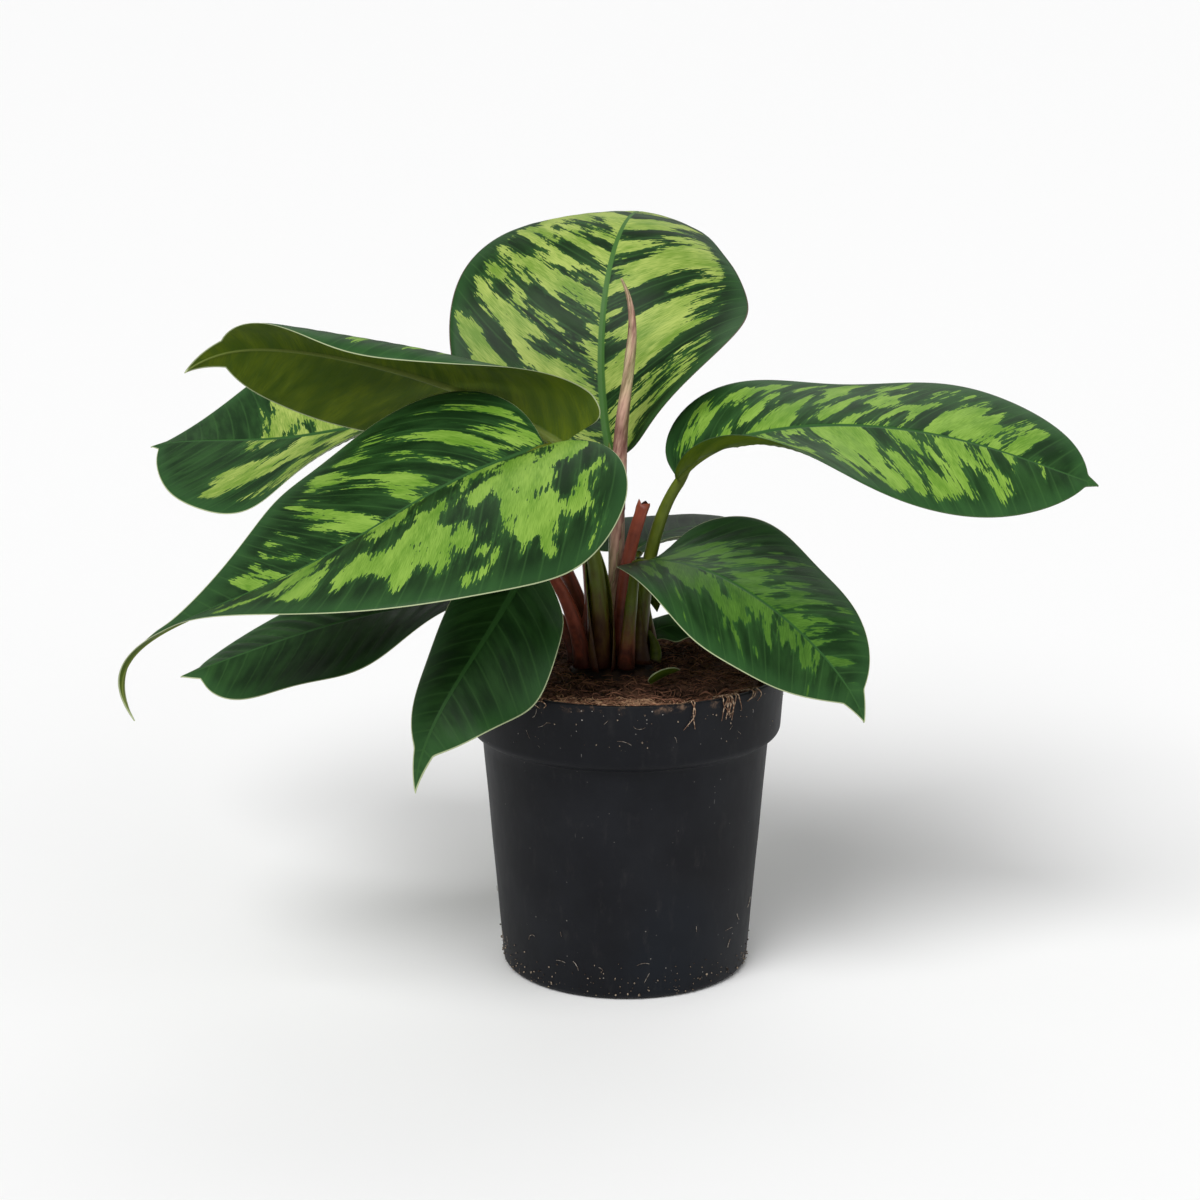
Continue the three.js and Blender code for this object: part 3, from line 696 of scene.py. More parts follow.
def upper_leaf(name, look, edge_colour):
    """Dark green with jagged lime blotches that follow the side veins."""
    # the pale tone's lime is partly painted light of blotches lit from the front
    light, deep = TONES[look["tone"]]
    s = Shader(name)
    spot = s.attribute("spot")
    vein = s.attribute("vein")
    lime_share, edge, rib = s.split(s.attribute("field"))
    big = s.noise(spot, 1.0, 1.2, 0.5, 0.25)
    streak = s.noise(s.scale(vein, (0.85, 0.13, 1)), 1.0, 1.5)
    fine = s.noise(s.scale(vein, (1.9, 0.5, 1)), 1.0, 1.0)
    level = s.plus(big, lime_share)
    level = s.plus(level, s.times(s.math("SUBTRACT", streak, 0.5), 0.34))
    level = s.plus(level, s.times(s.math("SUBTRACT", fine, 0.5), 0.16))
    lime = s.step(level, 0.5 - look["soft"], 0.5 + look["soft"])
    halo = s.step(level, 0.40, 0.5)

    tone = s.noise(s.scale(vein, (0.11, 0.05, 1)), 1.0, 3.0)
    hatch = s.noise(s.scale(vein, (2.6, 0.25, 1)), 1.0, 2.0)
    shade = s.plus(s.times(tone, 0.7), s.times(hatch, 0.5))
    lime_colour = s.mix(s.step(shade, 0.42, 0.78), deep, light)
    dark_tone = s.step(s.noise(s.scale(vein, (0.16, 0.05, 1)), 1.0, 3.0), 0.35, 0.7)
    deepest = tuple(look["depth"] * c for c in (0.007, 0.029, 0.006))
    lighter = tuple(look["depth"] * c for c in (0.021, 0.070, 0.015))
    dark = s.mix(dark_tone, deepest, lighter)
    dark = s.mix(s.times(halo, 0.45), dark, (0.033, 0.115, 0.022))
    # painted sheen: the dark green is lighter within 10 mm of the margin, standing for a glossy reflection
    # there
    painted_edge_sheen = s.step(edge, 10.0, 1.0)
    dark = s.mix(s.times(painted_edge_sheen, 0.5), dark, (0.032, 0.105, 0.028))
    origin = s.split(vein)[0]
    ridge = s.step(s.math("PINGPONG", s.math("DIVIDE", origin, VEIN_SPACING), 0.5), 0.09, 0.0)
    dark = s.mix(s.times(ridge, 0.35), dark, (0.045, 0.125, 0.03))
    colour = s.mix(lime, dark, lime_colour)
    wide = 1.25 if look["rib"] == "light" else 1.0
    colour = s.mix(s.step(rib, 1.2 * wide, 0.75 * wide), colour, RIBS[look["rib"]])
    # the thin line round the edge; the pale one is partly a painted highlight
    colour = s.mix(s.step(edge, 0.45, 0.15), colour, edge_colour)

    rough = s.plus(0.38, s.times(tone, 0.16))
    grain = s.plus(s.times(hatch, 0.6), s.times(fine, 0.4))
    return s.finish(colour, rough, 0.14, s.bump(grain, 0.12, 0.5))


def under_leaf_painted_glow(name, edge_colour):
    """Olive underside, partly its own colour and partly painted light shining through the blade, where the
    upper side's blotches show faintly.
    """
    s = Shader(name)
    vein = s.attribute("vein")
    _, edge, rib = s.split(s.attribute("field"))
    spot = s.attribute("spot")
    big = s.noise(spot, 1.0, 1.2, 0.5, 0.25)
    hatch = s.noise(s.scale(vein, (1.6, 0.2, 1)), 1.0, 2.0)
    patch = s.step(big, 0.3, 0.7)
    # olive tones brightened as painted light shining through the blade
    colour = s.mix(patch, (0.055, 0.095, 0.004), (0.10, 0.145, 0.006))
    colour = s.mix(s.times(s.step(hatch, 0.35, 0.7), 0.35), colour, (0.03, 0.07, 0.012))
    colour = s.mix(s.step(rib, 1.3, 0.8), colour, (0.13, 0.17, 0.03))
    # the thin line round the edge; the pale one is partly a painted highlight
    colour = s.mix(s.step(edge, 0.45, 0.15), colour, edge_colour)
    return s.finish(colour, 0.55, 0.15, s.bump(hatch, 0.15, 0.5))


def rim_leaf(name, edge_colour):
    s = Shader(name)
    vein = s.attribute("vein")
    tone = s.noise(s.scale(vein, (0.2, 0.2, 1)), 1.0, 2.0)
    # the rim band takes the edge colour; the pale one is partly a painted highlight
    darker = tuple(0.6 * c for c in edge_colour)
    return s.finish(s.mix(tone, darker, edge_colour), 0.5)


SLOTS = {
    "leaf_variegated": ("leaf_back", "leaf_rear_left", "leaf_front_left", "leaf_upper_left", "leaf_right"),
    "leaf_mottled": ("leaf_lower_right",),
    "leaf_dark": (
        "leaf_rear_right", "leaf_rear", "leaf_lower_left", "leaf_front_low", "leaf_small_back", "soil_leaf",
    ),
}


def make_leaves():
    for slot, names in SLOTS.items():
        for name in names:
            edge = EDGES[LOOKS[name]["edge"]]
            materials = [
                upper_leaf(name + "_upper", LOOKS[name], edge),
                under_leaf_painted_glow(name + "_under_glow", edge),
                rim_leaf(name + "_rim", edge),
            ]
            place(make_blade(name, materials), slot, name)


# ---- stalks ----------------------------------------------------------------
def stalk_material(name, red):
    """Yellow-green above and red-brown towards the foot, with fine streaks along it."""
    s = Shader(name)
    run, spot = s.streaks(2.6)
    streak = s.noise(spot, 1.0, 3.0, 0.6)
    fleck = s.noise(s.scale(spot, (7.0, 4.0, 1.0)), 1.0, 2.0)
    green = s.mix(streak, (0.032, 0.055, 0.004), (0.15, 0.19, 0.014))
    brown = s.mix(streak, (0.05, 0.011, 0.006), (0.38, 0.085, 0.045))
    height = s.plus(run, s.times(s.math("SUBTRACT", streak, 0.5), 0.5))
    reddish = s.step(height, red + 0.25, red - 0.25)
    colour = s.mix(reddish, green, brown)
    foot = s.step(height, 0.3, 0.0)
    colour = s.mix(s.times(foot, 0.75), colour, (0.02, 0.009, 0.006))
    colour = s.mix(s.step(fleck, 0.68, 0.78), colour, (0.10, 0.05, 0.03))
    return s.finish(colour, 0.42, 0.25, s.bump(streak, 0.15, 0.5))


def stalk_path(stalk):
    """From the crown to under the blade, where the stalk runs on into the midrib."""
    blade = BLADES[stalk["blade"]]
    start, forward, _, up = blade_frame(blade, np.array([0.0]))
    end = start[0] - STALK_GAP * up[0] - STALK_GAP * forward[0]
    control = [(*stalk["foot"], STALK_FOOT), *stalk["via"], tuple(end)]
    spots, _ = bezier(control, np.linspace(0, 1, 40))
    inner, _, _, above = blade_frame(blade, np.linspace(0.012, 0.05, 5))
    return np.concatenate([spots, inner - above * np.linspace(1.2, 0.7, 5)[:, None]])


def make_stalk(name, stalk, number):
    path = stalk_path(stalk)
    foot, top = stalk["radius"]
    t = np.linspace(0, 1, len(path))
    radii = foot + (top - foot) * t**0.8 + STALK_FOOT_SWELL * (1 - t) ** 3
    radii = radii * (1 + 0.03 * np.sin(17 * t + number))
    radii[-5:] = np.linspace(top * 0.95, 0.5, 5)
    points, faces, far = tube(path, radii, STALK_SIDES)
    parts = [(points, faces)]
    turn = np.sin(np.linspace(0, 2 * np.pi, STALK_SIDES, endpoint=False))
    run = [np.stack([far, np.tile(turn, len(path)), 0 * far], 1)]
    if stalk["sheath"]:
        *wing, wing_run = sheath_wing(path, radii, stalk["sheath"], number)
        parts.append(wing)
        run.append(wing_run)
    points, faces = joined(parts)
    material = stalk_material(name, stalk["red"])
    piece = make_piece(name, points, faces, [material])
    run = np.concatenate(run)
    run[:, 2] = number * 7.3
    store(piece, "run", run)
    slot = "stalk_red" if name == "stalk_front_low" else "stalk_green"
    place(piece, slot, name)


def sheath_wing(path, radii, reach, number):
    """The winged sheath that clasps a stalk's lower part, open on one side and fading out upwards."""
    steps = int(len(path) * reach)
    sides = 12
    forward = unit(np.gradient(path, axis=0))
    first = np.cross(forward[0], (0.3, 1, 0.2))
    facing = 2.2 + number
    outer = []
    inner = []
    for i in range(steps):
        ahead = forward[i]
        first = unit(first - ahead * first.dot(ahead))
        second = np.cross(ahead, first)
        u = i / (steps - 1)
        spread = math.radians(150 * (1 - u) ** 0.5 + 12)
        radius = radii[i] + 0.35 + 1.1 * (1 - u)
        for k in range(sides):
            share = k / (sides - 1) * 2 - 1
            angle = facing + spread * share
            lip = 1.9 * (1 - u) * abs(share) ** 3
            ray = math.cos(angle) * first + math.sin(angle) * second
            outer.append(path[i] + ray * (radius + lip))
            inner.append(path[i] + ray * (radius + lip - 0.32))
    count = len(outer)
    faces = []
    for i in range(steps - 1):
        for k in range(sides - 1):
            a = i * sides + k
            faces.append((a, a + 1, a + 1 + sides, a + sides))
            faces.append((count + a, count + a + sides, count + a + 1 + sides, count + a + 1))
        for a, turned in ((i * sides, False), (i * sides + sides - 1, True)):
            face = (a, a + sides, count + a + sides, count + a)
            faces.append(face[::-1] if turned else face)
    for k in range(sides - 1):
        faces.append((k, count + k, count + k + 1, k + 1))
        b = (steps - 1) * sides + k
        faces.append((b, b + 1, count + b + 1, count + b))
    u = np.repeat(np.linspace(0, reach, steps), sides)
    run = np.stack([u, np.tile(np.linspace(-1, 1, sides), steps), 0 * u], 1)
    return np.array(outer + inner), faces, np.concatenate([run, run])


def dry_material():
    """The pinkish, papery sheath round the unopened leaf."""
    s = Shader("dry_sheath")
    _, spot = s.streaks(5.0)
    streak = s.step(s.noise(spot, 1.0, 3.0, 0.6), 0.3, 0.7)
    pink = s.mix(streak, (0.13, 0.045, 0.035), (0.55, 0.34, 0.25))
    cream = s.mix(streak, (0.17, 0.14, 0.055), (0.60, 0.50, 0.29))
    middle = s.step(s.noise(s.scale(spot, (0.4, 0.3, 1)), 1.0, 1.0), 0.4, 0.6)
    colour = s.mix(middle, pink, cream)
    return s.finish(colour, 0.62, 0.3, s.bump(streak, 0.3, 0.6))


def weigh(values, t):
    return bezier([(v, 0, 0) for v in values], t)[0][:, 0]


def make_spear():
    """The rolled young leaf: a slim cone with a loose spiral wrap round it."""
    t = np.linspace(0, 1, 110)
    path, _ = bezier(SPEAR, t)
    radii = SPEAR_SWELL * weigh(SPEAR_RADIUS, t)
    sides = 22
    points, faces, far = tube(path, radii, sides)
    angle = np.tile(np.linspace(0, 2 * np.pi, sides, endpoint=False), len(t))
    centre = np.repeat(path, sides, axis=0)
    seam = np.mod(angle - 9 * far, 2 * np.pi) / (2 * np.pi)
    points = centre + (points - centre) * (0.78 + 0.26 * seam)[:, None]
    piece = make_piece("rolled_spear", points, faces, [dry_material()])
    store(piece, "run", np.stack([far, seam, 0 * far + 3], 1))
    place(piece, "dry_sheath", "rolled_spear")


def make_sheath(name, control, radius, slot, red, ragged):
    """An old sheath: a tapering curled shell with a torn top."""
    t = np.linspace(0, 1, 40)
    path, _ = bezier(control, t)
    radii = weigh(radius, t)
    sides = 16
    points, faces, far = tube(path, SHEATH_SWELL * radii, sides, SHEATH_FLATNESS)
    angle = np.tile(np.linspace(0, 2 * np.pi, sides, endpoint=False), len(t))
    centre = np.repeat(path, sides, axis=0)
    groove = 1 - 0.35 * np.exp(-((angle - 3.6) ** 2) / 0.25)
    points = centre + (points - centre) * groove[:, None]
    top = far > 0.93
    points[top, 2] += np.sin(angle[top] * 3) * ragged
    piece = make_piece(name, points, faces, [stalk_material(name, red)])
    store(piece, "run", np.stack([far * 0.9 + 0.1, np.sin(angle), 0 * far + 5], 1))
    place(piece, slot, name)


# ---- soil ------------------------------------------------------------------
def soil_material():
    s = Shader("soil")
    where = s.add("TexCoord").outputs["Object"]
    broad = s.noise(where, 90, 4)
    crumb = s.noise(where, 700, 5, 0.65)
    shade = s.plus(s.times(broad, 0.5), s.times(crumb, 0.6))
    colour = s.mix(s.step(shade, 0.35, 0.78), (0.008, 0.004, 0.003), (0.21, 0.105, 0.066))
    return s.finish(colour, 0.95, 0.15, s.bump(crumb, 0.8, 0.8))


def fibre_material(name, dark, light):
    s = Shader(name)
    info = s.attribute("run")
    tone = s.noise(s.scale(info, (1.0, 0.4, 1.0)), 1.0, 2.0)
    return s.finish(s.mix(s.step(tone, 0.3, 0.7), dark, light), 0.8, 0.2)


def soil_height(x, y):
    """The soil's surface, with lumps of a few millimetres and a shallow hollow behind the front clump."""
    lumps = noise.fractal(Vector((x * 0.11, y * 0.11, 3.1)), 1.0, 2.0, 4)
    far = math.hypot(x, y) / (RIM_RADIUS - 2)
    ridge = 1.0 * math.exp(-(((x + 4) / 18) ** 2) - ((y + 48) / 8) ** 2)
    hollow = -2.4 * math.exp(-(((x - 22) / 14) ** 2) - ((y + 34) / 9) ** 2)
    return SOIL_TOP - 0.9 + 1.3 * lumps * (1 - far**8) + ridge + hollow


def make_soil():
    rings = 90
    spokes = 240
    edge = RIM_RADIUS - WALL - 0.5
    points = [(0, 0, soil_height(0, 0))]
    for i in range(1, rings + 1):
        for x, y in circle(edge * i / rings, spokes):
            points.append((x, y, soil_height(x, y)))
    inside = WALL + 0.5
    wall = [
        (edge - 0.4, 108), (COLLAR_FOOT - inside, COLLAR_FOOT_Z),
        (BODY_TOP - inside, BODY_TOP_Z), (FLOOR_RADIUS - inside, FLOOR + 1),
    ]
    for radius, z in wall:
        points += [(x, y, z) for x, y in circle(radius, spokes)]
    faces = mound_faces(rings + len(wall), spokes)
    piece = make_piece("soil", points, faces, [soil_material()])
    place(piece, "soil", "soil")


def scattered(limit):
    """A random place on the soil within a radius."""
    radius = limit * math.sqrt(rng.random())
    angle = rng.uniform(0, 2 * math.pi)
    return radius * math.cos(angle), radius * math.sin(angle)


def crumb(x, y, size):
    """One lump of soil: a small rounded solid, each differently squashed and knocked about."""
    bm = bmesh.new()
    bmesh.ops.create_icosphere(bm, subdivisions=1, radius=1)
    stretch = [size * rng.uniform(0.55, 1.2) for _ in range(3)]
    turn = rng.uniform(0, math.pi)
    seed = rng.uniform(0, 90)
    z = soil_height(x, y) + 0.2 * size
    points = []
    for v in bm.verts:
        knock = 1 + 0.45 * noise.noise(v.co * 1.7 + Vector((seed, 0, 0)))
        p = [v.co[i] * stretch[i] * knock for i in range(3)]
        px = p[0] * math.cos(turn) - p[1] * math.sin(turn)
        py = p[0] * math.sin(turn) + p[1] * math.cos(turn)
        points.append((x + px, y + py, z + p[2]))
    faces = [tuple(v.index for v in f.verts) for f in bm.faces]
    bm.free()
    return points, faces


def make_crumbs():
    parts = []
    for _ in range(SOIL_CRUMBS):
        x, y = scattered(RIM_RADIUS - 4)
        parts.append(crumb(x, y, rng.choice((0.4, 0.5, 0.6, 0.9, 1.3))))
    points, faces = joined(parts)
    piece = make_piece("soil_crumbs", points, faces, [soil_material()])
    place(piece, "soil")


def fibre(x, y, length, width, height, lean):
    """A bent strand of coir lying on the soil, as a thin closed tube."""
    heading = rng.uniform(0, 2 * math.pi)
    bend = rng.uniform(-2.4, 2.4)
    steps = 7
    path = []
    px, py = x, y
    for i in range(steps):
        t = i / (steps - 1)
        lift = height * math.sin(math.pi * t) + lean * t
        path.append((px, py, soil_height(px, py) + 0.25 + lift))
        heading += bend / steps
        px += length / steps * math.cos(heading)
        py += length / steps * math.sin(heading)
        if math.hypot(px, py) > RIM_RADIUS - 3:
            heading += 1.2
            px *= 0.97
            py *= 0.97
    widths = width * np.array([0.5, 0.9, 1, 1, 0.9, 0.7, 0.35])
    return tube(path, widths, 4)[:2]


def strands(name, number, choose, material):
    """Many strands as one piece; choose gives each one's place and size."""
    parts = []
    tones = []
    for _ in range(number):
        part = fibre(*choose())
        parts.append(part)
        tones.append(np.full(len(part[0]), rng.uniform(0, 60)))
    points, faces = joined(parts)
    piece = make_piece(name, points, faces, [material])
    tones = np.concatenate(tones)
    store(piece, "run", np.stack([tones, points[:, 2] * 0.1, tones], 1))
    place(piece, "soil")


def draws(*limits):
    """One random number between each pair of limits, in turn."""
    return [rng.uniform(low, high) for low, high in limits]


def make_fibres():
    def anywhere():
        x, y = scattered(RIM_RADIUS - 5)
        return x, y, *draws((4, 12), (0.10, 0.24), (0, 1.2), (0, 0.8))

    def front():
        x = rng.gauss(-6, 13)
        y = -math.sqrt(max(0, (RIM_RADIUS - 6) ** 2 - x * x)) + abs(rng.gauss(0, 4))
        return x, y, *draws((2.5, 7), (0.14, 0.32), (0, 0.8), (0, 0.6))

    brown = fibre_material("fibre_brown", (0.022, 0.008, 0.006), (0.38, 0.18, 0.11))
    tan = fibre_material("fibre_tan", (0.16, 0.07, 0.038), (0.62, 0.38, 0.23))
    strands("soil_fibres", SOIL_FIBRES, anywhere, brown)
    strands("front_fibres", FRONT_FIBRES, front, tan)


def wall_spot(angle, z, off):
    """A point off the pot's outer wall, at an angle from +X and a height."""
    if z > COLLAR_FOOT_Z:
        share = (z - COLLAR_FOOT_Z) / (POT_HEIGHT - COLLAR_FOOT_Z)
        radius = COLLAR_FOOT + (RIM_RADIUS - COLLAR_FOOT) * share
    else:
        radius = BODY_FOOT + (BODY_TOP - BODY_FOOT) * z / BODY_TOP_Z
    return np.array([(radius + off) * math.cos(angle), (radius + off) * math.sin(angle), z])


def make_pot_dirt():
    """Grains and short hairs of coir stuck to the pot, most of them by its foot and under its rim."""
    grains = []
    hairs = []
    for i in range(POT_GRAINS):
        angle = rng.uniform(0, 2 * math.pi)
        z = 1.2 + abs(rng.gauss(0, 6)) if i % 3 else rng.uniform(98, 115)
        size = rng.uniform(0.12, 0.42)
        points, faces = crumb(0, 0, size)
        points = np.array(points)
        points += wall_spot(angle, z, 0.3 * size) - points.mean(0)
        grains.append((points, faces))
    for i in range(POT_HAIRS):
        angle = rng.uniform(0, 2 * math.pi)
        z = rng.uniform(3, 30) if i % 2 else rng.uniform(98, 112)
        slope = rng.uniform(-1.5, 1.5)
        length = rng.uniform(1.5, 5.5)
        bend = rng.uniform(-1, 1)
        path = []
        for k in range(6):
            t = k / 5
            turn = slope + bend * t
            around = angle + t * length * math.cos(turn) / BODY_MIDDLE
            path.append(wall_spot(around, z + t * length * math.sin(turn), 0.1))
        hairs.append(tube(path, 0.07 + 0.05 * rng.random(), 4)[:2])
    points, faces = joined(grains)
    material = dirt_material("grains", (0.03, 0.02, 0.015), (0.34, 0.27, 0.2))
    place(make_piece("pot_grains", points, faces, [material]), "soil")
    points, faces = joined(hairs)
    material = dirt_material("hairs", (0.12, 0.09, 0.07), (0.36, 0.32, 0.27))
    place(make_piece("pot_hairs", points, faces, [material]), "soil")


def dirt_material(name, dark, light):
    """Dull grains or hairs, from dark to light in small patches."""
    s = Shader(name)
    tone = s.noise(s.add("TexCoord").outputs["Object"], 900, 1)
    return s.finish(s.mix(s.step(tone, 0.4, 0.65), dark, light), 0.9, 0.15)


def make_roots():
    """Thin roots that hang over the rim at the front. For each spot: x, how many, and how far down."""
    parts = []
    for start, count, drop in ((24, 2, 11), (37, 9, 9), (47, 3, 5), (-30, 2, 4)):
        for _ in range(count):
            x = start + rng.gauss(0, 1.3)
            angle = math.atan2(-math.sqrt(RIM_RADIUS**2 - x * x), x)
            fall = drop * rng.uniform(0.6, 1.0)
            sway = rng.uniform(-0.05, 0.05)
            curl = rng.uniform(-0.03, 0.03)
            outward = np.array([math.cos(angle), math.sin(angle), 0])
            path = [outward * (RIM_RADIUS - rng.uniform(5, 9)) + (0, 0, SOIL_TOP + 0.3)]
            path.append(outward * (RIM_RADIUS - 1.4) + (0, 0, POT_HEIGHT + 0.5))
            for k in range(7):
                t = k / 6
                bow = angle + sway * t + curl * math.sin(4 * t)
                path.append(wall_spot(bow, POT_HEIGHT + 0.1 - fall * t, 0.35 + 0.5 * math.sin(3 * t)))
            path = smooth_path(path)
            parts.append(tube(path, np.linspace(0.26, 0.1, len(path)), 6)[:2])
    points, faces = joined(parts)
    material = dirt_material("roots", (0.16, 0.085, 0.05), (0.5, 0.36, 0.25))
    place(make_piece("rim_roots", points, faces, [material]), "soil")


def smooth_path(points):
    """A smooth path through points, by Catmull-Rom spans."""
    spots = np.array([points[0], *points, points[-1]])
    made = []
    for i in range(1, len(spots) - 2):
        before, here, after, beyond = spots[i - 1 : i + 3]
        for t in np.linspace(0, 1, 4, endpoint=False):
            first = 2 * here + (after - before) * t
            second = (2 * before - 5 * here + 4 * after - beyond) * t**2
            third = (3 * here - before - 3 * after + beyond) * t**3
            made.append((first + second + third) / 2)
    made.append(spots[-1])
    return np.array(made)


def make_crown():
    """The clump's low, knobbly base, where the stalks leave the soil."""
    rings = 26
    spokes = 90
    points = [(*CROWN, CROWN_TOP)]
    for i in range(1, rings + 1):
        u = i / rings
        for x, y in circle(CROWN_RADIUS * u, spokes, CROWN):
            knob = noise.fractal(Vector((x * 0.3, y * 0.3, 8.0)), 1.0, 2.0, 3)
            points.append((x, y, CROWN_TOP - 4.2 * u**3 + 0.9 * knob * (1 - u**4)))
    points += [(x, y, CROWN_FOOT) for x, y in circle(CROWN_RADIUS - 1, spokes, CROWN)]
    faces = mound_faces(rings + 1, spokes)
    s = Shader("crown")
    where = s.add("TexCoord").outputs["Object"]
    broad = s.noise(where, 260, 4)
    colour = s.mix(s.step(broad, 0.35, 0.7), (0.010, 0.005, 0.004), (0.07, 0.03, 0.018))
    material = s.finish(colour, 0.8, normal=s.bump(broad, 0.8, 0.7))
    place(make_piece("crown", points, faces, [material]), "crown", "crown")


# ---- pot -------------------------------------------------------------------
def pot_material():
    """Matt charcoal plastic: dusty, with pale specks, short scratches and soil dirt near the rim and foot."""
    s = Shader("pot")
    where = s.add("TexCoord").outputs["Object"]
    x, y, z = s.split(where)
    angle = s.math("ARCTAN2", y, x)
    wrapped = s.times(angle, BODY_MIDDLE * MM)
    unrolled = s.add("CombineXYZ", {0: wrapped, 1: z, 2: 0.0}).outputs[0]
    cloud = s.noise(where, 28, 4, 0.55)
    base = s.mix(s.step(cloud, 0.3, 0.75), (0.0045, 0.005, 0.007), (0.0095, 0.0105, 0.0135))
    blue = s.step(s.noise(where, 14, 2), 0.5, 0.75)
    base = s.mix(s.times(blue, 0.5), base, (0.0035, 0.007, 0.0125))
    dust = s.noise(s.scale(unrolled, (1.0, 0.35, 1.0)), 190, 5, 0.7)
    base = s.mix(s.times(s.step(dust, 0.52, 0.8), 0.35), base, (0.034, 0.032, 0.032))
    cells = s.cells(where, 520)
    fleck = s.math("LESS_THAN", cells["Distance"], 0.13)
    lucky = s.math("GREATER_THAN", s.split(cells["Color"])[0], 0.86)
    low = s.step(z, 0.045, 0.005)
    high = s.step(z, 0.088, 0.112)
    dirty = s.plus(s.times(s.math("MAXIMUM", low, high), 0.8), 0.2)
    patchy = s.step(s.noise(where, 60, 2), 0.42, 0.6)
    speck = s.times(s.times(fleck, lucky), s.times(dirty, patchy))
    base = s.mix(speck, base, (0.33, 0.31, 0.28))
    slanted = s.scale(unrolled, (1.0, 0.22, 1.0))
    scratch_cells = s.cells(slanted, 420)
    scratch = s.math("LESS_THAN", scratch_cells["Distance"], 0.085)
    chosen = s.math("GREATER_THAN", s.split(scratch_cells["Color"])[1], 0.93)
    scratch = s.times(s.times(scratch, chosen), s.times(dirty, patchy))
    base = s.mix(scratch, base, (0.26, 0.25, 0.24))
    grime = s.times(s.step(s.noise(where, 120, 5, 0.7), 0.55, 0.7), s.step(z, 0.112, 0.1155))
    base = s.mix(grime, base, (0.16, 0.10, 0.065))
    rough = s.plus(0.42, s.times(dust, 0.22))
    fine = s.noise(where, 1500, 3, 0.6)
    relief = s.plus(s.times(fine, 0.3), s.times(speck, 1.0))
    return s.finish(base, rough, 0.14, s.bump(relief, 0.08, 0.6))


def arc(centre, radius, start, end, steps):
    """Points of a profile's round corner, angles in degrees."""
    spots = []
    for i in range(steps + 1):
        angle = math.radians(start + (end - start) * i / steps)
        spots.append((centre[0] + radius * math.cos(angle), centre[1] + radius * math.sin(angle)))
    return spots


def straight(start, end, steps):
    return [
        (start[0] + (end[0] - start[0]) * i / steps, start[1] + (end[1] - start[1]) * i / steps)
        for i in range(1, steps)
    ]


def pot_profile():
    foot = arc((BODY_FOOT - 2.5, 2.5), 2.5, -90, -5, 6)
    neck = [(BODY_TOP - 0.35, BODY_TOP_Z - 1.2), (BODY_TOP, BODY_TOP_Z - 0.4)]
    lip = arc((COLLAR_FOOT - 3.6, COLLAR_FOOT_Z - 2.6), 3.6, -80, 0, 8)
    rim = arc((RIM_RADIUS - 0.7, POT_HEIGHT - 0.7), 0.7, 0, 90, 5)
    inner_rim = arc((RIM_RADIUS - WALL + 0.5, POT_HEIGHT - 0.5), 0.5, 90, 180, 4)
    outside = [(0, 0.6), (20, 0.6), (38, 0.6), (40, 0)]
    outside += foot
    outside += straight(foot[-1], neck[0], 24)
    outside += neck
    outside += lip
    outside += straight(lip[-1], rim[0], 8)
    outside += rim
    outside += inner_rim
    inside = [
        (COLLAR_FOOT - WALL, COLLAR_FOOT_Z),
        (BODY_TOP - WALL, BODY_TOP_Z),
        (BODY_FOOT - WALL, FLOOR + 1.5),
        (FLOOR_RADIUS - WALL, FLOOR),
        (0, FLOOR),
    ]
    return outside + inside


def make_pot():
    spokes = 160
    profile = pot_profile()
    points = []
    for radius, z in profile[1:-1]:
        for k in range(spokes):
            angle = 2 * math.pi * k / spokes
            out = radius
            if 3 < z < POT_HEIGHT - 2 and radius > BODY_FOOT - 0.5:
                spot = Vector((radius * math.cos(angle), radius * math.sin(angle), z))
                out += 0.12 * noise.noise(spot * 0.05)
            points.append((out * math.cos(angle), out * math.sin(angle), z))
    rings = len(profile) - 2
    faces = ring_faces(rings, spokes)
    points.append((0, 0, profile[0][1]))
    points.append((0, 0, profile[-1][1]))
    bottom = len(points) - 2
    top = len(points) - 1
    last = (rings - 1) * spokes
    for k in range(spokes):
        faces.append((bottom, (k + 1) % spokes, k))
        faces.append((top, last + k, last + (k + 1) % spokes))
    piece = make_piece("pot", points, faces, [pot_material()])
    drill_holes(piece)
    place(piece, "pot", "pot")


def drill_holes(piece):
    parts = []
    for i in range(DRAIN_HOLES):
        angle = (i + 0.5) / DRAIN_HOLES * 2 * math.pi
        x = DRAIN_RING * math.cos(angle)
        y = DRAIN_RING * math.sin(angle)
        parts.append(tube([(x, y, -3), (x, y, 0.3), (x, y, 6)], DRAIN_RADIUS, 24)[:2])
    points, faces = joined(parts)
    drill = make_piece("drill", points, faces, [])
    cut = piece.modifiers.new("holes", "BOOLEAN")
    cut.operation = "DIFFERENCE"
    cut.object = drill
    cut.solver = "EXACT"
    bpy.context.view_layer.update()
    depsgraph = bpy.context.evaluated_depsgraph_get()
    made = bpy.data.meshes.new_from_object(piece.evaluated_get(depsgraph))
    piece.modifiers.clear()
    piece.data = made
    bpy.data.objects.remove(drill)
    crease(piece, 38)


def crease(piece, degrees):
    """Smooth faces, with an edge kept crisp where it turns by more than the angle."""
    bm = bmesh.new()
    bm.from_mesh(piece.data)
    for edge in bm.edges:
        if len(edge.link_faces) == 2 and edge.calc_face_angle(0) > math.radians(degrees):
            edge.smooth = False
    for face in bm.faces:
        face.smooth = True
    bm.to_mesh(piece.data)
    bm.free()


# ---- setting ---------------------------------------------------------------
def make_floor():
    bm = bmesh.new()
    bmesh.ops.create_circle(bm, cap_ends=True, segments=96, radius=FLOOR_DISC)
    mesh = bpy.data.meshes.new("floor")
    bm.to_mesh(mesh)
    bm.free()
    s = Shader("floor")
    mesh.materials.append(s.finish((0.9, 0.9, 0.9), 0.9, 0.1))
    floor = bpy.data.objects.new("floor", mesh)
    floor.location.z = -FLOOR_DROP
    bpy.context.scene.collection.objects.link(floor)


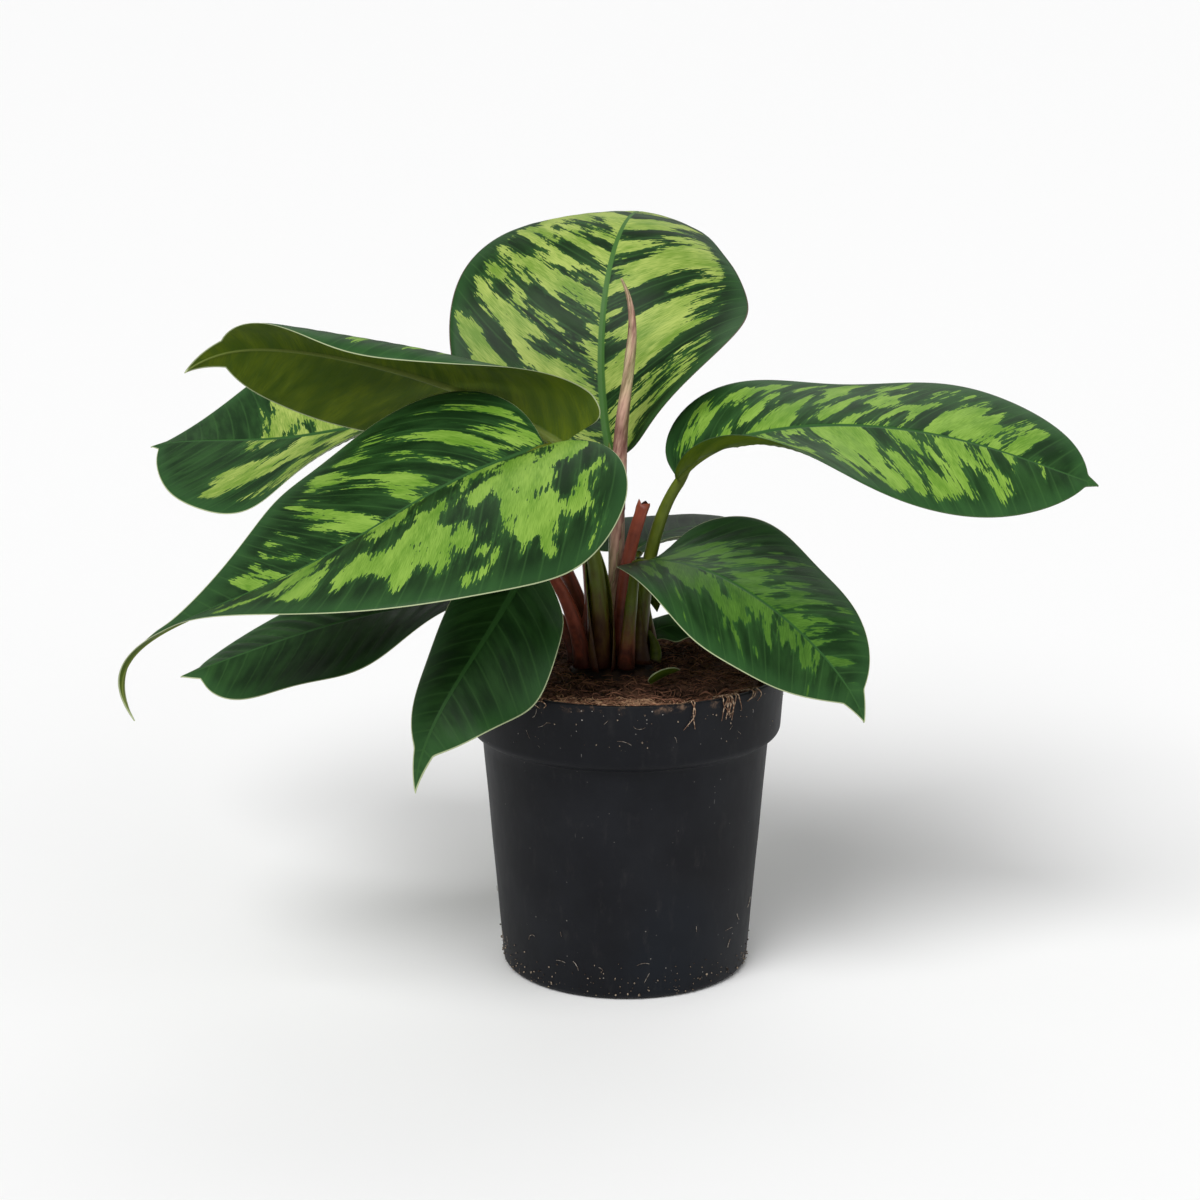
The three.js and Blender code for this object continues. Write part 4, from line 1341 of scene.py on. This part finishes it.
def sun_light(name, toward, spread, strength):
    """Soft light from far away, so that the floor is lit evenly. toward is where it comes from."""
    light = bpy.data.lights.new(name, "SUN")
    light.angle = math.radians(spread)
    light.energy = strength
    made = bpy.data.objects.new(name, light)
    made.rotation_euler = Vector(toward).to_track_quat("Z", "Y").to_euler()
    bpy.context.scene.collection.objects.link(made)


def make_world():
    """A dim grey surround for the light, and plain white where the camera looks past the floor."""
    world = bpy.data.worlds.new("studio")
    world.use_nodes = True
    tree = world.node_tree
    dim = tree.nodes["Background"]
    dim.inputs["Color"].default_value = (1, 1, 1, 1)
    dim.inputs["Strength"].default_value = 0.24
    white = tree.nodes.new("ShaderNodeBackground")
    white.inputs["Color"].default_value = (1, 1, 1, 1)
    seen = tree.nodes.new("ShaderNodeLightPath")
    mix = tree.nodes.new("ShaderNodeMixShader")
    tree.links.new(seen.outputs["Is Camera Ray"], mix.inputs[0])
    tree.links.new(dim.outputs[0], mix.inputs[1])
    tree.links.new(white.outputs[0], mix.inputs[2])
    tree.links.new(mix.outputs[0], tree.nodes["World Output"].inputs[0])
    bpy.context.scene.world = world


def make_lights():
    sun_light("key", (-0.4, -0.75, 1.0), 40, 2.75)
    sun_light("fill", (0.9, -0.7, 0.6), 60, 0.55)
    sun_light("rear", (0.2, 0.9, 0.9), 50, 0.5)
    make_world()


def make_camera():
    camera = bpy.data.cameras.new("camera")
    camera.sensor_width = 36
    camera.lens = CAMERA_LENS
    made = bpy.data.objects.new("camera", camera)
    made.location = CAMERA_PLACE
    made.rotation_euler = (math.radians(90 - CAMERA_DOWN), 0, math.radians(CAMERA_TURN))
    bpy.context.scene.collection.objects.link(made)
    bpy.context.scene.camera = made
    bpy.context.scene.view_settings.view_transform = "Standard"


make_camera()
make_lights()
make_floor()
make_pot()
make_soil()
make_crumbs()
make_fibres()
make_pot_dirt()
make_roots()
make_crown()
make_leaves()
for number, (name, stalk) in enumerate(STALKS.items()):
    make_stalk(name, stalk, number)
make_spear()
make_sheath("sheath_right", SHEATH_RIGHT, SHEATH_RIGHT_RADIUS, "stalk_red", 1.2, 1.2)
make_sheath("sheath_small", SHEATH_SMALL, SHEATH_SMALL_RADIUS, "stalk_green", 0.0, 0.3)
